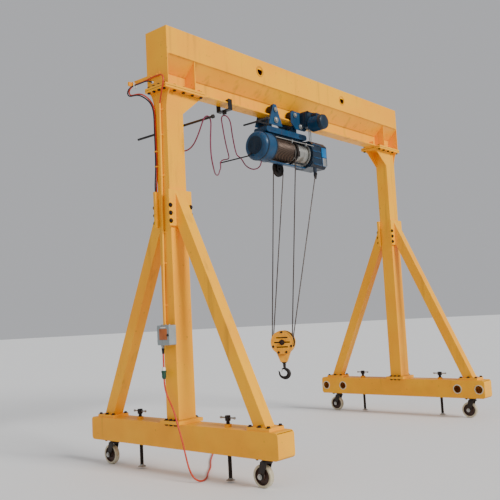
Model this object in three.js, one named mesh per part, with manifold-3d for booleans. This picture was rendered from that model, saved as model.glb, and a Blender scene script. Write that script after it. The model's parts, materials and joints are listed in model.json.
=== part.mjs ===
// Portable gantry crane: a box girder on two A-frame legs with castors, and a wire-rope hoist on a trolley.
// Millimetres, +Z up. The origin is on the floor, midway between the two legs. +X runs along the girder.
import * as THREE from "three";
import { mergeVertices } from "three/addons/utils/BufferGeometryUtils.js";
import Module from "manifold-3d";

const wasm = await Module();
wasm.setup();

// ---------------------------------------------------------------- driving dimensions
const GAP = 0.3; // between faces that touch
const SPAN = 4200; // between the two column centres
const GIRDER_UNDERSIDE = 3734; // floor to the running flange

const BASE = { length: 2500, width: 225, height: 230, underside: 260, wall: 8, corner: 34 };
const ACCESS_HOLE = { radius: 50, offset: 145 }; // hand holes in the inner wall, either side of each castor

const COLUMN = { width: 222, depth: 165, wall: 8 };
const FOOT_PLATE = { width: 314, depth: 260, thickness: 16 };
const COLLAR = { width: 300, height: 350, thickness: 14, bottom: 2350 };
const HAUNCH = { reach: 255, drop: 211, thickness: 8 };

const GIRDER = { overhang: 135, width: 300, fold: 299, height: 576, wall: 6, flange: 150, flangeThickness: 14 };
const GIRDER_WEB = { thickness: 10, height: 160, seat: 12 };
const STIFFENER = { inset: 240, thickness: 10 };
const LIFTING_HOLE = { place: 825, rise: 441, radius: 42, tip: 78 };
const TRAVEL_STOP = { place: 1690, length: 30, height: 45 };
const SPLICE = { before: 170, after: 375, width: 300, thickness: 20, shim: 3 };
const SPLICE_BOLT = { shaft: 10, head: 16, headHeight: 13, pitch: 122, first: -25, side: 118, end: 153, endPitch: 73 };

const BRACE = { width: 120, depth: 125, wall: 6, footReach: 1099, slope: 2160 / 980 };
const BRACE_FOOT = { width: 200, length: 250, thickness: 14 };

const CASTOR = { place: 1030, trail: 45, plate: 150, plateThickness: 10, raceRadius: 42, race: 20, crown: 14, pin: 10 };
const CASTOR_WHEEL = { radius: 100, tread: 50, hub: 60, axle: 10 };
const FORK = { inner: 34, thickness: 6, crownRadius: 52, crownHeight: 229, legWidth: 58 };

const JACK = { place: 600, screw: 18, sleeve: 32, sleeveRise: 20, top: 585, foot: 40, footBottom: 20, handle: 90 };

const BOX = { width: 164, height: 186, depth: 90, wall: 3, door: 8, bottom: 1225, centre: -10 };
const CORD = { radius: 8, glandOffset: 45, connectorTop: 1020, connectorLength: 110 };
const COIL = { x: -600, y: 1000, inner: 90, outer: 142, height: 48 };
const PLUG = { radius: 32, length: 130 };

const ARM = { height: 3372, radius: 12, reachBack: 626, reachFront: 473 };
const FESTOON = { radius: 7 };
const CARRIER = { place: -1282, length: 60, plate: 12, drop: 60, wheel: 18 };

const WHEEL = { radius: 55, lip: 66, from: 20, lipFrom: 77, to: 88, axle: 12 };
const SIDE_PLATE = { inner: 95, thickness: 12 };
const IDLE = { place: -533, halfBase: 125, below: 113, above: 134 };
const DRIVE = { place: -60, wheelOffset: 105, below: 94, above: 120, halfLength: 175 };
const TIE = { radius: 15, drop: 53 };
const BEAM = { from: -690, to: 75, halfWidth: 80, bottom: 3540, height: 50, lug: 20 };
const TRAVEL_BOX = { from: -62, to: 138, depth: 82, bottom: 3668, top: 3862 };
const TRAVEL_MOTOR = { x: 23, z: 3700, radius: 90, length: 205 };

const HOIST = { axis: 3370, radius: 168, shell: 6, from: -800, motorEnd: -590, drumEnd: 95, to: 430 };
const DRUM = { radius: 122, wall: 14, lip: 142, lipThickness: 12, clearance: 6 };
const GEARBOX = { halfWidth: 150, below: 155, above: 165, chamfer: 45, cover: 30, coverRadius: 118 };
const TOW_ARM = { x: -850, z: 3248, radius: 8, from: 60, to: 500 };
const ROPE = { radius: 6.5, clearance: 1.2 };
const RETURN = { x: -268, y: 104, z: 3180, pitch: 92, halfThickness: 12 };
const ANCHOR = { x: 196, y: -104, z: 3150 };

const BLOCK = { x: -485, z: 1145, twist: 25, cover: 130, coverThickness: 8, halfWidth: 60, neck: 222 };
const SHEAVE = { pitch: 116, rim: 10, halfThickness: 13, offset: 30, axle: 15 };
const HOOK = { eyeDrop: 350, bend: 48, mouth: 60, radius: 19, shank: 17 };
const LATCH = { pivotY: 24, pivotZ: -298, tipY: 39, tipZ: -331, halfWidth: 8, thickness: 5 };

// ---------------------------------------------------------------- materials
const finish = (color, roughness, metalness) => new THREE.MeshStandardMaterial({ color, roughness, metalness });
const YELLOW = finish(0xf0b21c, 0.45, 0.1);
const HOIST_BLUE = finish(0x17405f, 0.45, 0.2);
const BLACK_STEEL = finish(0x1c1a1b, 0.5, 0.6);
const BRIGHT_STEEL = finish(0xa8a8a4, 0.35, 0.9);
const BLOCK_ORANGE = finish(0xe0a030, 0.5, 0.1);
const GREY = finish(0x8c9093, 0.5, 0.3);
const TYRE = finish(0xd9d0b8, 0.6, 0);
const RED_CABLE = finish(0xa8331c, 0.6, 0);
const MAUVE_CABLE = finish(0x7a3046, 0.6, 0);
const GREEN_PLASTIC = finish(0x1f4a3c, 0.5, 0);

// ---------------------------------------------------------------- solids
// A closed three.js geometry as a manifold-3d solid.
function solid(geometry) {
  const bare = geometry.index ? geometry.toNonIndexed() : geometry.clone();
  bare.deleteAttribute("normal");
  bare.deleteAttribute("uv");
  const merged = mergeVertices(bare, 1e-3);
  return new wasm.Manifold(
    new wasm.Mesh({
      numProp: 3,
      vertProperties: new Float32Array(merged.attributes.position.array),
      triVerts: new Uint32Array(merged.index.array),
    }),
  );
}

function geometryOf(body) {
  const mesh = body.getMesh();
  const places = new Float32Array(mesh.numVert * 3);
  for (let i = 0; i < mesh.numVert; i++) {
    places.set(mesh.vertProperties.subarray(i * mesh.numProp, i * mesh.numProp + 3), i * 3);
  }
  const geometry = new THREE.BufferGeometry();
  geometry.setAttribute("position", new THREE.BufferAttribute(places, 3));
  geometry.setIndex(new THREE.BufferAttribute(mesh.triVerts, 1));
  geometry.computeVertexNormals();
  return geometry;
}

const join = (...bodies) => bodies.flat().reduce((a, b) => a.add(b));
const cut = (body, ...tools) => tools.flat().reduce((a, b) => a.subtract(b), body);
const sides = [-1, 1];

// A box between two corners.
function box(x0, x1, y0, y1, z0, z1) {
  const geometry = new THREE.BoxGeometry(Math.abs(x1 - x0), Math.abs(y1 - y0), Math.abs(z1 - z0));
  return solid(geometry.translate((x0 + x1) / 2, (y0 + y1) / 2, (z0 + z1) / 2));
}

// A round bar from point a to point b.
function rod(a, b, radius, segments = 16) {
  const from = new THREE.Vector3(...a);
  const to = new THREE.Vector3(...b);
  const geometry = new THREE.CylinderGeometry(radius, radius, from.distanceTo(to), segments);
  const turn = new THREE.Quaternion().setFromUnitVectors(
    new THREE.Vector3(0, 1, 0),
    to.clone().sub(from).normalize(),
  );
  geometry.applyQuaternion(turn);
  const middle = from.add(to).multiplyScalar(0.5);
  return solid(geometry.translate(middle.x, middle.y, middle.z));
}

// The directions that an outline's first axis, its second axis and its depth take for each prism.
const FRAMES = {
  x: [new THREE.Vector3(0, 1, 0), new THREE.Vector3(0, 0, 1), new THREE.Vector3(1, 0, 0)],
  y: [new THREE.Vector3(1, 0, 0), new THREE.Vector3(0, 0, 1), new THREE.Vector3(0, -1, 0)],
  z: [new THREE.Vector3(1, 0, 0), new THREE.Vector3(0, 1, 0), new THREE.Vector3(0, 0, 1)],
};

// An outline extruded along an axis: (Y, Z) along x, (X, Z) along y, (X, Y) along z.
function prism(axis, outline, from, to, curveSegments = 4) {
  const shape = outline instanceof THREE.Shape ? outline : new THREE.Shape(outline.map((p) => new THREE.Vector2(...p)));
  const geometry = new THREE.ExtrudeGeometry(shape, { depth: to - from, bevelEnabled: false, curveSegments });
  geometry.applyMatrix4(new THREE.Matrix4().makeBasis(...FRAMES[axis]));
  const start = axis === "y" ? to : from;
  const shift = { x: [start, 0, 0], y: [0, start, 0], z: [0, 0, start] }[axis];
  return solid(geometry.translate(...shift));
}

// A profile of (radius, distance along the axis) turned round the X, Y or Z axis, through a centre.
function turned(axis, profile, centre = [0, 0, 0], segments = 24) {
  const points = profile.map((p) => new THREE.Vector2(...p));
  const geometry = new THREE.LatheGeometry(points, segments);
  if (axis === "x") geometry.rotateZ(-Math.PI / 2);
  if (axis === "z") geometry.rotateX(Math.PI / 2);
  const body = solid(geometry.translate(...centre));
  return body;
}

// A washer-like ring section for a lathe, closed on itself.
const ringProfile = (inner, outer, from, to) => [
  [inner, from],
  [outer, from],
  [outer, to],
  [inner, to],
  [inner, from],
];

function roundedRectangle(u0, u1, v0, v1, radius) {
  const shape = new THREE.Shape();
  shape.moveTo(u0 + radius, v0);
  shape.lineTo(u1 - radius, v0);
  shape.absarc(u1 - radius, v0 + radius, radius, -Math.PI / 2, 0);
  shape.lineTo(u1, v1 - radius);
  shape.absarc(u1 - radius, v1 - radius, radius, 0, Math.PI / 2);
  shape.lineTo(u0 + radius, v1);
  shape.absarc(u0 + radius, v1 - radius, radius, Math.PI / 2, Math.PI);
  shape.lineTo(u0, v0 + radius);
  shape.absarc(u0 + radius, v0 + radius, radius, Math.PI, 1.5 * Math.PI);
  return shape;
}

// A line through given points, sampled at those points and nowhere else.
class Route extends THREE.Curve {
  constructor(points) {
    super();
    this.points = points.map((p) => new THREE.Vector3(...p));
  }
  getPoint(t) {
    const last = this.points.length - 1;
    const place = Math.min(Math.max(t, 0), 1) * last;
    const i = Math.min(Math.floor(place), last - 1);
    return this.points[i].clone().lerp(this.points[i + 1], place - i);
  }
  getPointAt(u) {
    return this.getPoint(u);
  }
  getTangentAt(u) {
    const step = 1 / (this.points.length - 1);
    return this.getPoint(u + step)
      .sub(this.getPoint(u - step))
      .normalize();
  }
}

// A round tube whose rings stand at the points of a route.
function tubeAt(points, radius, sidesOfTube = 8) {
  const circle = new THREE.Shape();
  circle.absarc(0, 0, radius, 0, 2 * Math.PI);
  const section = new THREE.Shape(circle.getSpacedPoints(sidesOfTube).slice(0, sidesOfTube));
  const steps = points.length - 1;
  return solid(new THREE.ExtrudeGeometry(section, { steps, extrudePath: new Route(points) }));
}

// A round tube on a smooth curve through a few points.
function cable(points, radius, steps, sidesOfTube = 8) {
  const curve = new THREE.CatmullRomCurve3(points.map((p) => new THREE.Vector3(...p)), false, "centripetal");
  return tubeAt(curve.getSpacedPoints(steps).map((p) => p.toArray()), radius, sidesOfTube);
}

const crane = new THREE.Group();
function place(name, body, material, parent = crane) {
  const mesh = new THREE.Mesh(geometryOf(body), material);
  mesh.name = name;
  parent.add(mesh);
  return mesh;
}

// ---------------------------------------------------------------- main girder
const columnX = SPAN / 2;
const girderEnd = columnX + GIRDER.overhang;
const flangeTop = GIRDER_UNDERSIDE + GIRDER.flangeThickness;
const girderHalf = GIRDER.width / 2;
const girderTop = GIRDER_UNDERSIDE + GIRDER.height;
const padBottom = GIRDER_UNDERSIDE - SPLICE.thickness;

function girderSection() {
  const fold = GIRDER_UNDERSIDE + GIRDER.fold;
  const seat = GIRDER_UNDERSIDE + GIRDER_WEB.height;
  const rise = (fold - seat) / (girderHalf - GIRDER_WEB.seat);
  const lift = GIRDER.wall * Math.hypot(1, rise);
  const inner = girderHalf - GIRDER.wall;
  const innerSeat = GIRDER_WEB.seat + 4;
  const trough = [
    [GIRDER_WEB.seat, seat],
    [girderHalf, fold],
    [girderHalf, girderTop],
    [-girderHalf, girderTop],
    [-girderHalf, fold],
    [-GIRDER_WEB.seat, seat],
  ];
  const hollow = [
    [innerSeat, seat + (innerSeat - GIRDER_WEB.seat) * rise + lift],
    [inner, seat + (inner - GIRDER_WEB.seat) * rise + lift],
    [inner, girderTop - GIRDER.wall],
    [-inner, girderTop - GIRDER.wall],
    [-inner, seat + (inner - GIRDER_WEB.seat) * rise + lift],
    [-innerSeat, seat + (innerSeat - GIRDER_WEB.seat) * rise + lift],
  ];
  return { trough, hollow, seat, fold };
}

// The column splice's pad under the girder, from before the column to past the haunch.
const spliceRange = (side) => [side * (columnX + SPLICE.before), side * (columnX - SPLICE.after)].sort((a, b) => a - b);

// The splice bolts' places round one column.
function spliceBoltPlaces(side) {
  const along = [0, 1, 2, 3].map((i) => side * (columnX - SPLICE_BOLT.first - i * SPLICE_BOLT.pitch));
  const beside = along.flatMap((x) => sides.map((s) => [x, s * SPLICE_BOLT.side]));
  const across = [-1.5, -0.5, 0.5, 1.5].map((k) => [side * (columnX + SPLICE_BOLT.end), k * SPLICE_BOLT.endPitch]);
  return [...beside, ...across];
}

const hexagon = (x, y, radius) =>
  [0, 1, 2, 3, 4, 5].map((k) => [x + radius * Math.cos((k * Math.PI) / 3), y + radius * Math.sin((k * Math.PI) / 3)]);
const boltHoles = (side, from, to) =>
  spliceBoltPlaces(side).map(([x, y]) => prism("z", hexagon(x, y, SPLICE_BOLT.shaft + GAP), from, to));

function mainGirder() {
  const { trough, hollow, seat, fold } = girderSection();
  const web = GIRDER_WEB.thickness / 2;
  const end = 8;
  const shell = cut(prism("x", trough, -girderEnd + 1, girderEnd - 1), prism("x", hollow, -girderEnd + end, girderEnd - end));
  const runway = join(
    box(-girderEnd + 1, girderEnd - 1, -GIRDER.flange / 2, GIRDER.flange / 2, GIRDER_UNDERSIDE, flangeTop),
    box(-girderEnd + 1, girderEnd - 1, -web, web, flangeTop - 1, seat + 4),
  );
  const endPlates = sides.map((s) =>
    box(s * girderEnd, s * (girderEnd - end), -girderHalf, girderHalf, GIRDER_UNDERSIDE - 1, girderTop),
  );
  const stiffeners = sides.flatMap((s) =>
    sides.map((t) => {
      const x = s * (columnX - STIFFENER.inset);
      const half = STIFFENER.thickness / 2;
      const outline = [
        [t * web, GIRDER_UNDERSIDE - 1],
        [t * (girderHalf - 2), GIRDER_UNDERSIDE - 1],
        [t * (girderHalf - 2), fold - 2],
        [t * GIRDER_WEB.seat, seat + 1],
        [t * (web - 1), seat],
      ];
      return prism("x", t > 0 ? outline : outline.reverse(), x - half, x + half);
    }),
  );
  const pads = sides.map((s) => {
    const [x0, x1] = spliceRange(s);
    return box(x0, x1, -SPLICE.width / 2, SPLICE.width / 2, padBottom, GIRDER_UNDERSIDE + 1);
  });
  const stops = sides.flatMap((s) =>
    sides.map((t) =>
      box(
        s * TRAVEL_STOP.place,
        s * (TRAVEL_STOP.place + TRAVEL_STOP.length),
        t * (web - 1),
        t * (GIRDER.flange / 2 - 5),
        flangeTop - 1,
        flangeTop + TRAVEL_STOP.height,
      ),
    ),
  );
  const holes = sides.map((s) => {
    const x = s * LIFTING_HOLE.place;
    const z = GIRDER_UNDERSIDE + LIFTING_HOLE.rise;
    const drop = new THREE.Shape();
    drop.moveTo(x, z + LIFTING_HOLE.tip);
    drop.absarc(x, z, LIFTING_HOLE.radius, (5 / 6) * Math.PI, (13 / 6) * Math.PI);
    return prism("y", drop, -girderHalf - 5, girderHalf + 5, 12);
  });
  const bolts = sides.flatMap((s) => boltHoles(s, padBottom - 1, flangeTop + 1));
  return cut(join(shell, runway, endPlates, stiffeners, pads, stops), holes, bolts);
}
place("main_girder", mainGirder(), YELLOW);

// The shim between girder pad and column flange, with the bolts, heads and nuts that clamp it.
const columnFlangeTop = padBottom - SPLICE.shim - 2 * GAP;
const columnFlangeBottom = columnFlangeTop - SPLICE.thickness;
function spliceBolts(side) {
  const [x0, x1] = spliceRange(side);
  const shim = box(x0, x1, -SPLICE.width / 2, SPLICE.width / 2, padBottom - GAP - SPLICE.shim, padBottom - GAP);
  const bore = columnBore(side, padBottom - 20, padBottom + 20);
  const bolts = spliceBoltPlaces(side).map(([x, y]) => {
    const upper = GIRDER_UNDERSIDE + 1 + GAP;
    const lower = columnFlangeBottom - GAP;
    return join(
      prism("z", hexagon(x, y, SPLICE_BOLT.shaft), lower - 1, upper + 1),
      prism("z", hexagon(x, y, SPLICE_BOLT.head), upper, upper + SPLICE_BOLT.headHeight),
      prism("z", hexagon(x, y, SPLICE_BOLT.head), lower - SPLICE_BOLT.headHeight, lower),
    );
  });
  return join(cut(shim, bore), bolts);
}

// ---------------------------------------------------------------- columns
const baseTop = BASE.underside + BASE.height;
const footPadTop = baseTop + FOOT_PLATE.thickness;
const columnFoot = footPadTop + GAP;

const columnBore = (side, from, to) =>
  box(
    side * columnX - COLUMN.width / 2 + COLUMN.wall,
    side * columnX + COLUMN.width / 2 - COLUMN.wall,
    -COLUMN.depth / 2 + COLUMN.wall,
    COLUMN.depth / 2 - COLUMN.wall,
    from,
    to,
  );

function column(side) {
  const x = side * columnX;
  const halfWidth = COLUMN.width / 2;
  const halfDepth = COLUMN.depth / 2;
  const tube = box(x - halfWidth, x + halfWidth, -halfDepth, halfDepth, columnFoot, columnFlangeTop);
  const foot = box(
    x - FOOT_PLATE.width / 2,
    x + FOOT_PLATE.width / 2,
    -FOOT_PLATE.depth / 2,
    FOOT_PLATE.depth / 2,
    columnFoot,
    columnFoot + FOOT_PLATE.thickness,
  );
  const [x0, x1] = spliceRange(side);
  const head = box(x0, x1, -SPLICE.width / 2, SPLICE.width / 2, columnFlangeBottom, columnFlangeTop);
  const inward = x - side * (halfWidth - 2);
  const haunches = sides.map((t) => {
    const outline = [
      [inward, columnFlangeBottom - HAUNCH.drop],
      [inward - side * (HAUNCH.reach + 2), columnFlangeBottom - 8],
      [inward - side * (HAUNCH.reach + 2), columnFlangeBottom + 1],
      [inward, columnFlangeBottom + 1],
    ];
    const y = t * halfDepth;
    const [y0, y1] = [y, y - t * HAUNCH.thickness].sort((a, b) => a - b);
    return prism("y", side < 0 ? outline : outline.reverse(), y0, y1);
  });
  const flare = new THREE.Shape();
  const low = columnFlangeBottom - HAUNCH.drop;
  const wide = SPLICE.width / 2 - 8;
  flare.moveTo(-halfDepth + 1, low);
  flare.lineTo(halfDepth - 1, low);
  flare.quadraticCurveTo(halfDepth + 8, columnFlangeBottom - 60, wide, columnFlangeBottom + 1);
  flare.lineTo(-wide, columnFlangeBottom + 1);
  flare.quadraticCurveTo(-halfDepth - 8, columnFlangeBottom - 60, -halfDepth + 1, low);
  const outer = x + side * halfWidth;
  const [flareFrom, flareTo] = [outer, outer - side * COLUMN.wall].sort((p, q) => p - q);
  const flarePlate = prism("x", flare, flareFrom, flareTo, 5);
  const collars = sides.map((t) =>
    box(
      x - COLLAR.width / 2,
      x + COLLAR.width / 2,
      t * (halfDepth - 1),
      t * (halfDepth + COLLAR.thickness),
      COLLAR.bottom,
      COLLAR.bottom + COLLAR.height,
    ),
  );
  return cut(
    join(tube, foot, head, haunches, flarePlate, collars),
    columnBore(side, columnFoot - 1, columnFlangeTop + 1),
    boltHoles(side, columnFlangeBottom - 1, columnFlangeTop + 1),
  );
}

// ---------------------------------------------------------------- base beams
function baseBeam(side) {
  const x = side * columnX;
  const half = BASE.width / 2;
  const end = BASE.length / 2;
  const profile = roundedRectangle(-end, end, BASE.underside, baseTop, BASE.corner);
  const shell = prism("x", profile, x - half, x + half);
  const hollow = box(
    x - half + BASE.wall,
    x + half - BASE.wall,
    -end + BASE.wall,
    end - BASE.wall,
    BASE.underside + BASE.wall,
    baseTop - BASE.wall,
  );
  const handHoles = sides.flatMap((t) =>
    sides.map((k) => {
      const y = t * CASTOR.place + k * ACCESS_HOLE.offset;
      const z = BASE.underside + BASE.height / 2;
      return rod([x, y, z], [x - side * (half + 5), y, z], ACCESS_HOLE.radius, 16);
    }),
  );
  const foot = box(
    x - FOOT_PLATE.width / 2,
    x + FOOT_PLATE.width / 2,
    -FOOT_PLATE.depth / 2,
    FOOT_PLATE.depth / 2,
    baseTop - 1,
    footPadTop,
  );
  const bracePads = sides.map((t) =>
    box(
      x - BRACE_FOOT.width / 2,
      x + BRACE_FOOT.width / 2,
      t * braceFootRange()[0],
      t * braceFootRange()[1],
      baseTop - 1,
      baseTop + BRACE_FOOT.thickness,
    ),
  );
  const sleeves = sides.map((t) =>
    rod([x, t * JACK.place, BASE.underside], [x, t * JACK.place, baseTop + JACK.sleeveRise], JACK.sleeve, 16),
  );
  const bores = sides.map((t) =>
    rod(
      [x, t * JACK.place, BASE.underside - 5],
      [x, t * JACK.place, baseTop + JACK.sleeveRise + 5],
      JACK.screw + 2 * GAP,
      16,
    ),
  );
  return cut(join(cut(shell, hollow, handHoles), foot, bracePads, sleeves), bores);
}

// ---------------------------------------------------------------- braces
// Where a brace's foot plate starts and ends, out from the column's centre.
function braceFootRange() {
  const middle = BRACE.footReach - 68;
  return [middle - BRACE_FOOT.length / 2, middle + BRACE_FOOT.length / 2];
}

function brace(side, front) {
  const x = side * columnX;
  const footTop = baseTop + BRACE_FOOT.thickness + GAP + BRACE_FOOT.thickness;
  const face = COLUMN.depth / 2 + COLLAR.thickness + GAP;
  const slope = BRACE.slope;
  const stretch = Math.hypot(1, slope) / slope;
  // The upper edge's distance out at a height, and the edge that lies a given depth below it.
  const outAt = (z, below) => BRACE.footReach - (z - baseTop) / slope - below * stretch;
  const heightAt = (y, below) => baseTop + (BRACE.footReach - y - below * stretch) * slope;
  const outline = (from, to, low, near) => [
    [front * outAt(low, to), low],
    [front * outAt(low, from), low],
    [front * near, heightAt(near, from)],
    [front * near, heightAt(near, to)],
  ];
  const facing = (points) => (front > 0 ? points : points.reverse());
  const half = BRACE.width / 2;
  const bar = prism("x", facing(outline(0, BRACE.depth, footTop - 2, face + 2)), x - half, x + half);
  const bore = prism(
    "x",
    facing(outline(BRACE.wall, BRACE.depth - BRACE.wall, footTop - BRACE_FOOT.thickness - 4, face + COLLAR.thickness)),
    x - half + BRACE.wall,
    x + half - BRACE.wall,
  );
  const [y0, y1] = braceFootRange();
  const foot = box(
    x - BRACE_FOOT.width / 2,
    x + BRACE_FOOT.width / 2,
    front * y0,
    front * y1,
    footTop - BRACE_FOOT.thickness,
    footTop,
  );
  const head = box(
    x - COLLAR.width / 2,
    x + COLLAR.width / 2,
    front * face,
    front * (face + COLLAR.thickness),
    COLLAR.bottom,
    COLLAR.bottom + COLLAR.height,
  );
  return cut(join(bar, foot, head), bore);
}

const legs = [
  ["near", -1],
  ["far", 1],
];
const corners = [
  ["front", -1],
  ["back", 1],
];
for (const [leg, side] of legs) {
  place(`splice_bolts_${leg}`, spliceBolts(side), BLACK_STEEL);
  place(`column_${leg}`, column(side), YELLOW);
  place(`base_beam_${leg}`, baseBeam(side), YELLOW);
  for (const [corner, front] of corners) {
    place(`brace_${leg}_${corner}`, brace(side, front), YELLOW);
  }
}

// ---------------------------------------------------------------- castors and jacks
function castorPlate() {
  const top = BASE.underside - GAP;
  const half = CASTOR.plate / 2;
  const plate = box(-half, half, -half, half, top - CASTOR.plateThickness, top);
  const race = rod([0, 0, FORK.crownHeight + GAP], [0, 0, top - 1], CASTOR.raceRadius, 14);
  const bore = rod([0, 0, FORK.crownHeight - 5], [0, 0, top + 5], CASTOR.pin + 3 * GAP, 8);
  return cut(join(plate, race), bore);
}

function castorFork() {
  const top = FORK.crownHeight;
  const crown = rod([0, 0, top - CASTOR.crown], [0, 0, top], FORK.crownRadius, 14);
  const pin = rod([0, 0, top - 1], [0, 0, BASE.underside - GAP - 2], CASTOR.pin, 8);
  const z = CASTOR_WHEEL.radius;
  const half = FORK.legWidth / 2;
  const legOutline = new THREE.Shape();
  legOutline.moveTo(-30, top - 3);
  legOutline.lineTo(CASTOR.trail - half, z);
  legOutline.absarc(CASTOR.trail, z, half, Math.PI, 2 * Math.PI);
  legOutline.lineTo(44, top - 3);
  const legPlates = sides.map((s) => {
    const [a, b] = [s * FORK.inner, s * (FORK.inner + FORK.thickness)].sort((p, q) => p - q);
    return prism("x", legOutline, a, b);
  });
  const outer = FORK.inner + FORK.thickness;
  const axle = rod([-outer - 12, CASTOR.trail, z], [outer + 12, CASTOR.trail, z], CASTOR_WHEEL.axle - 1, 10);
  const ends = sides.map((s) => rod([s * outer, CASTOR.trail, z], [s * (outer + 10), CASTOR.trail, z], 17, 6));
  return join(crown, pin, legPlates, axle, ends);
}

function castorWheel() {
  const { radius, tread, hub, axle } = CASTOR_WHEEL;
  const bore = axle + GAP;
  const profile = [
    [bore, -hub / 2],
    [28, -hub / 2],
    [34, -tread / 2],
    [radius - 6, -tread / 2],
    [radius, -tread / 2 + 8],
    [radius, tread / 2 - 8],
    [radius - 6, tread / 2],
    [34, tread / 2],
    [28, hub / 2],
    [bore, hub / 2],
    [bore, -hub / 2],
  ];
  return turned("x", profile, [0, CASTOR.trail, radius], 20);
}

function jackScrew() {
  const { screw, top, handle, foot, footBottom } = JACK;
  const shaft = rod([0, 0, footBottom + 10], [0, 0, top], screw, 14);
  const head = rod([0, 0, top - 45], [0, 0, top], screw + 8, 6);
  const bar = rod([0, -handle, top - 20], [0, handle, top - 20], 8, 10);
  const dish = [
    [0, footBottom],
    [foot, footBottom],
    [foot, footBottom + 6],
    [20, footBottom + 22],
    [0, footBottom + 22],
  ];
  return join(shaft, head, bar, turned("z", dish.map(([r, z]) => [r, z]), [0, 0, 0], 18));
}

for (const [leg, side] of legs) {
  for (const [corner, front] of corners) {
    const castor = new THREE.Group();
    castor.position.set(side * columnX, front * CASTOR.place, 0);
    crane.add(castor);
    place(`castor_plate_${leg}_${corner}`, castorPlate(), BLACK_STEEL, castor);
    place(`castor_fork_${leg}_${corner}`, castorFork(), BLACK_STEEL, castor);
    place(`castor_wheel_${leg}_${corner}`, castorWheel(), TYRE, castor);
    const jack = new THREE.Group();
    jack.position.set(side * columnX, front * JACK.place, 0);
    crane.add(jack);
    place(`jack_screw_${leg}_${corner}`, jackScrew(), BLACK_STEEL, jack);
  }
}

// ---------------------------------------------------------------- control box, conduit and supply cord
const boxBack = -columnX - COLUMN.width / 2 - GAP;
const doorBack = boxBack - BOX.depth + BOX.door + GAP;
const boxTop = BOX.bottom + BOX.height;
const glandX = boxBack - BOX.depth / 2 - 12;
const glandY = BOX.centre + CORD.glandOffset;
const glandEnd = BOX.bottom - 30;

function controlBox() {
  const y0 = BOX.centre - BOX.width / 2;
  const y1 = BOX.centre + BOX.width / 2;
  const outer = prism("x", roundedRectangle(y0, y1, BOX.bottom, boxTop, 10), doorBack + GAP, boxBack);
  const inner = prism(
    "x",
    roundedRectangle(y0 + BOX.wall, y1 - BOX.wall, BOX.bottom + BOX.wall, boxTop - BOX.wall, 8),
    doorBack - 5,
    boxBack - BOX.wall,
  );
  const gland = rod([glandX, glandY, glandEnd], [glandX, glandY, BOX.bottom + 2], 14, 12);
  return join(cut(outer, inner), gland);
}
const controlBoxDoor = () =>
  prism(
    "x",
    roundedRectangle(BOX.centre - BOX.width / 2, BOX.centre + BOX.width / 2, BOX.bottom, boxTop, 10),
    doorBack - BOX.door,
    doorBack,
  );
place("control_box", controlBox(), GREY);
place("control_box_door", controlBoxDoor(), GREY);

const conduitX = boxBack - 16;
const conduitRoute = [
  [conduitX, 38, boxTop + GAP],
  [conduitX, 34, boxTop + 300],
  [conduitX, 12, COLLAR.bottom + 150],
  [conduitX, -4, 3200],
  [conduitX, -10, columnFlangeBottom - 130],
];
place("conduit", cable(conduitRoute, 11, 16, 10), YELLOW);

function connector() {
  const { connectorTop, connectorLength, radius } = CORD;
  const bore = radius + 2 * GAP;
  const profile = [
    [bore, connectorTop - connectorLength],
    [14, connectorTop - connectorLength],
    [20, connectorTop - connectorLength + 18],
    [20, connectorTop - 52],
    [25, connectorTop - 50],
    [25, connectorTop - 38],
    [19, connectorTop - 34],
    [17, connectorTop - 8],
    [12, connectorTop],
    [bore, connectorTop],
    [bore, connectorTop - connectorLength],
  ];
  return turned("z", profile.map(([r, z]) => [r, z]), [glandX, glandY, 0], 14);
}
place("cord_connector", connector(), GREEN_PLASTIC);

const floorCord = CORD.radius + 1;
const footClear = -columnX - FOOT_PLATE.width / 2 - 19.3; // the cord hangs clear of the foot plate
const cordRoute = [
  [glandX, glandY, glandEnd - GAP],
  [glandX, glandY, 1100],
  [glandX, glandY, CORD.connectorTop],
  [glandX, glandY, CORD.connectorTop - CORD.connectorLength],
  [glandX, glandY, CORD.connectorTop - CORD.connectorLength - 50],
  [glandX, glandY - 30, 760],
  [footClear + 4, -75, 640],
  [footClear, -140, 480],
  [footClear - 12, -200, 350],
  [footClear - 22, -245, 240],
  [footClear - 26, -285, 130],
  [footClear - 18, -325, 55],
  [footClear + 14, -356, 16],
  [footClear + 78, -356, floorCord],
  [footClear + 178, -300, floorCord],
  [-1960, -180, floorCord],
  [-1760, -20, floorCord],
  [-1520, 210, floorCord],
  [-1260, 430, floorCord],
  [-1020, 640, floorCord],
  [-890, 760, floorCord],
  [-770, 835, floorCord],
  [COIL.x - 68, COIL.y - COIL.outer + 4, floorCord],
];
place("supply_cord", cable(cordRoute, CORD.radius - 0.1, 60), RED_CABLE);
place(
  "supply_cord_coil",
  turned("z", ringProfile(COIL.inner, COIL.outer, 0, COIL.height), [COIL.x, COIL.y, 0], 24),
  RED_CABLE,
);

function supplyPlug() {
  const { radius, length } = PLUG;
  const profile = [
    [0, -length / 2],
    [14, -length / 2],
    [20, -length / 2 + 25],
    [radius - 4, -5],
    [radius, 5],
    [radius, length / 2],
    [0, length / 2],
  ];
  return turned("y", profile, [COIL.x + COIL.outer + radius + 12, COIL.y + 20, radius], 16);
}
place("supply_plug", supplyPlug(), GREEN_PLASTIC);

// ---------------------------------------------------------------- festoon arm, cable bracket, festoon cable and carrier
const columnInner = -columnX + COLUMN.width / 2;
const armX = columnInner + GAP + 6 + ARM.radius;
function festoonArm() {
  const bar = rod([armX, -ARM.reachFront, ARM.height], [armX, ARM.reachBack, ARM.height], ARM.radius, 10);
  const knob = rod([armX, -ARM.reachFront - 8, ARM.height], [armX, -ARM.reachFront + 10, ARM.height], ARM.radius + 8, 10);
  const saddle = box(columnInner + GAP, armX, -60, 60, ARM.height - 30, ARM.height + 30);
  return join(bar, knob, saddle);
}
place("festoon_arm", festoonArm(), BLACK_STEEL);

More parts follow.
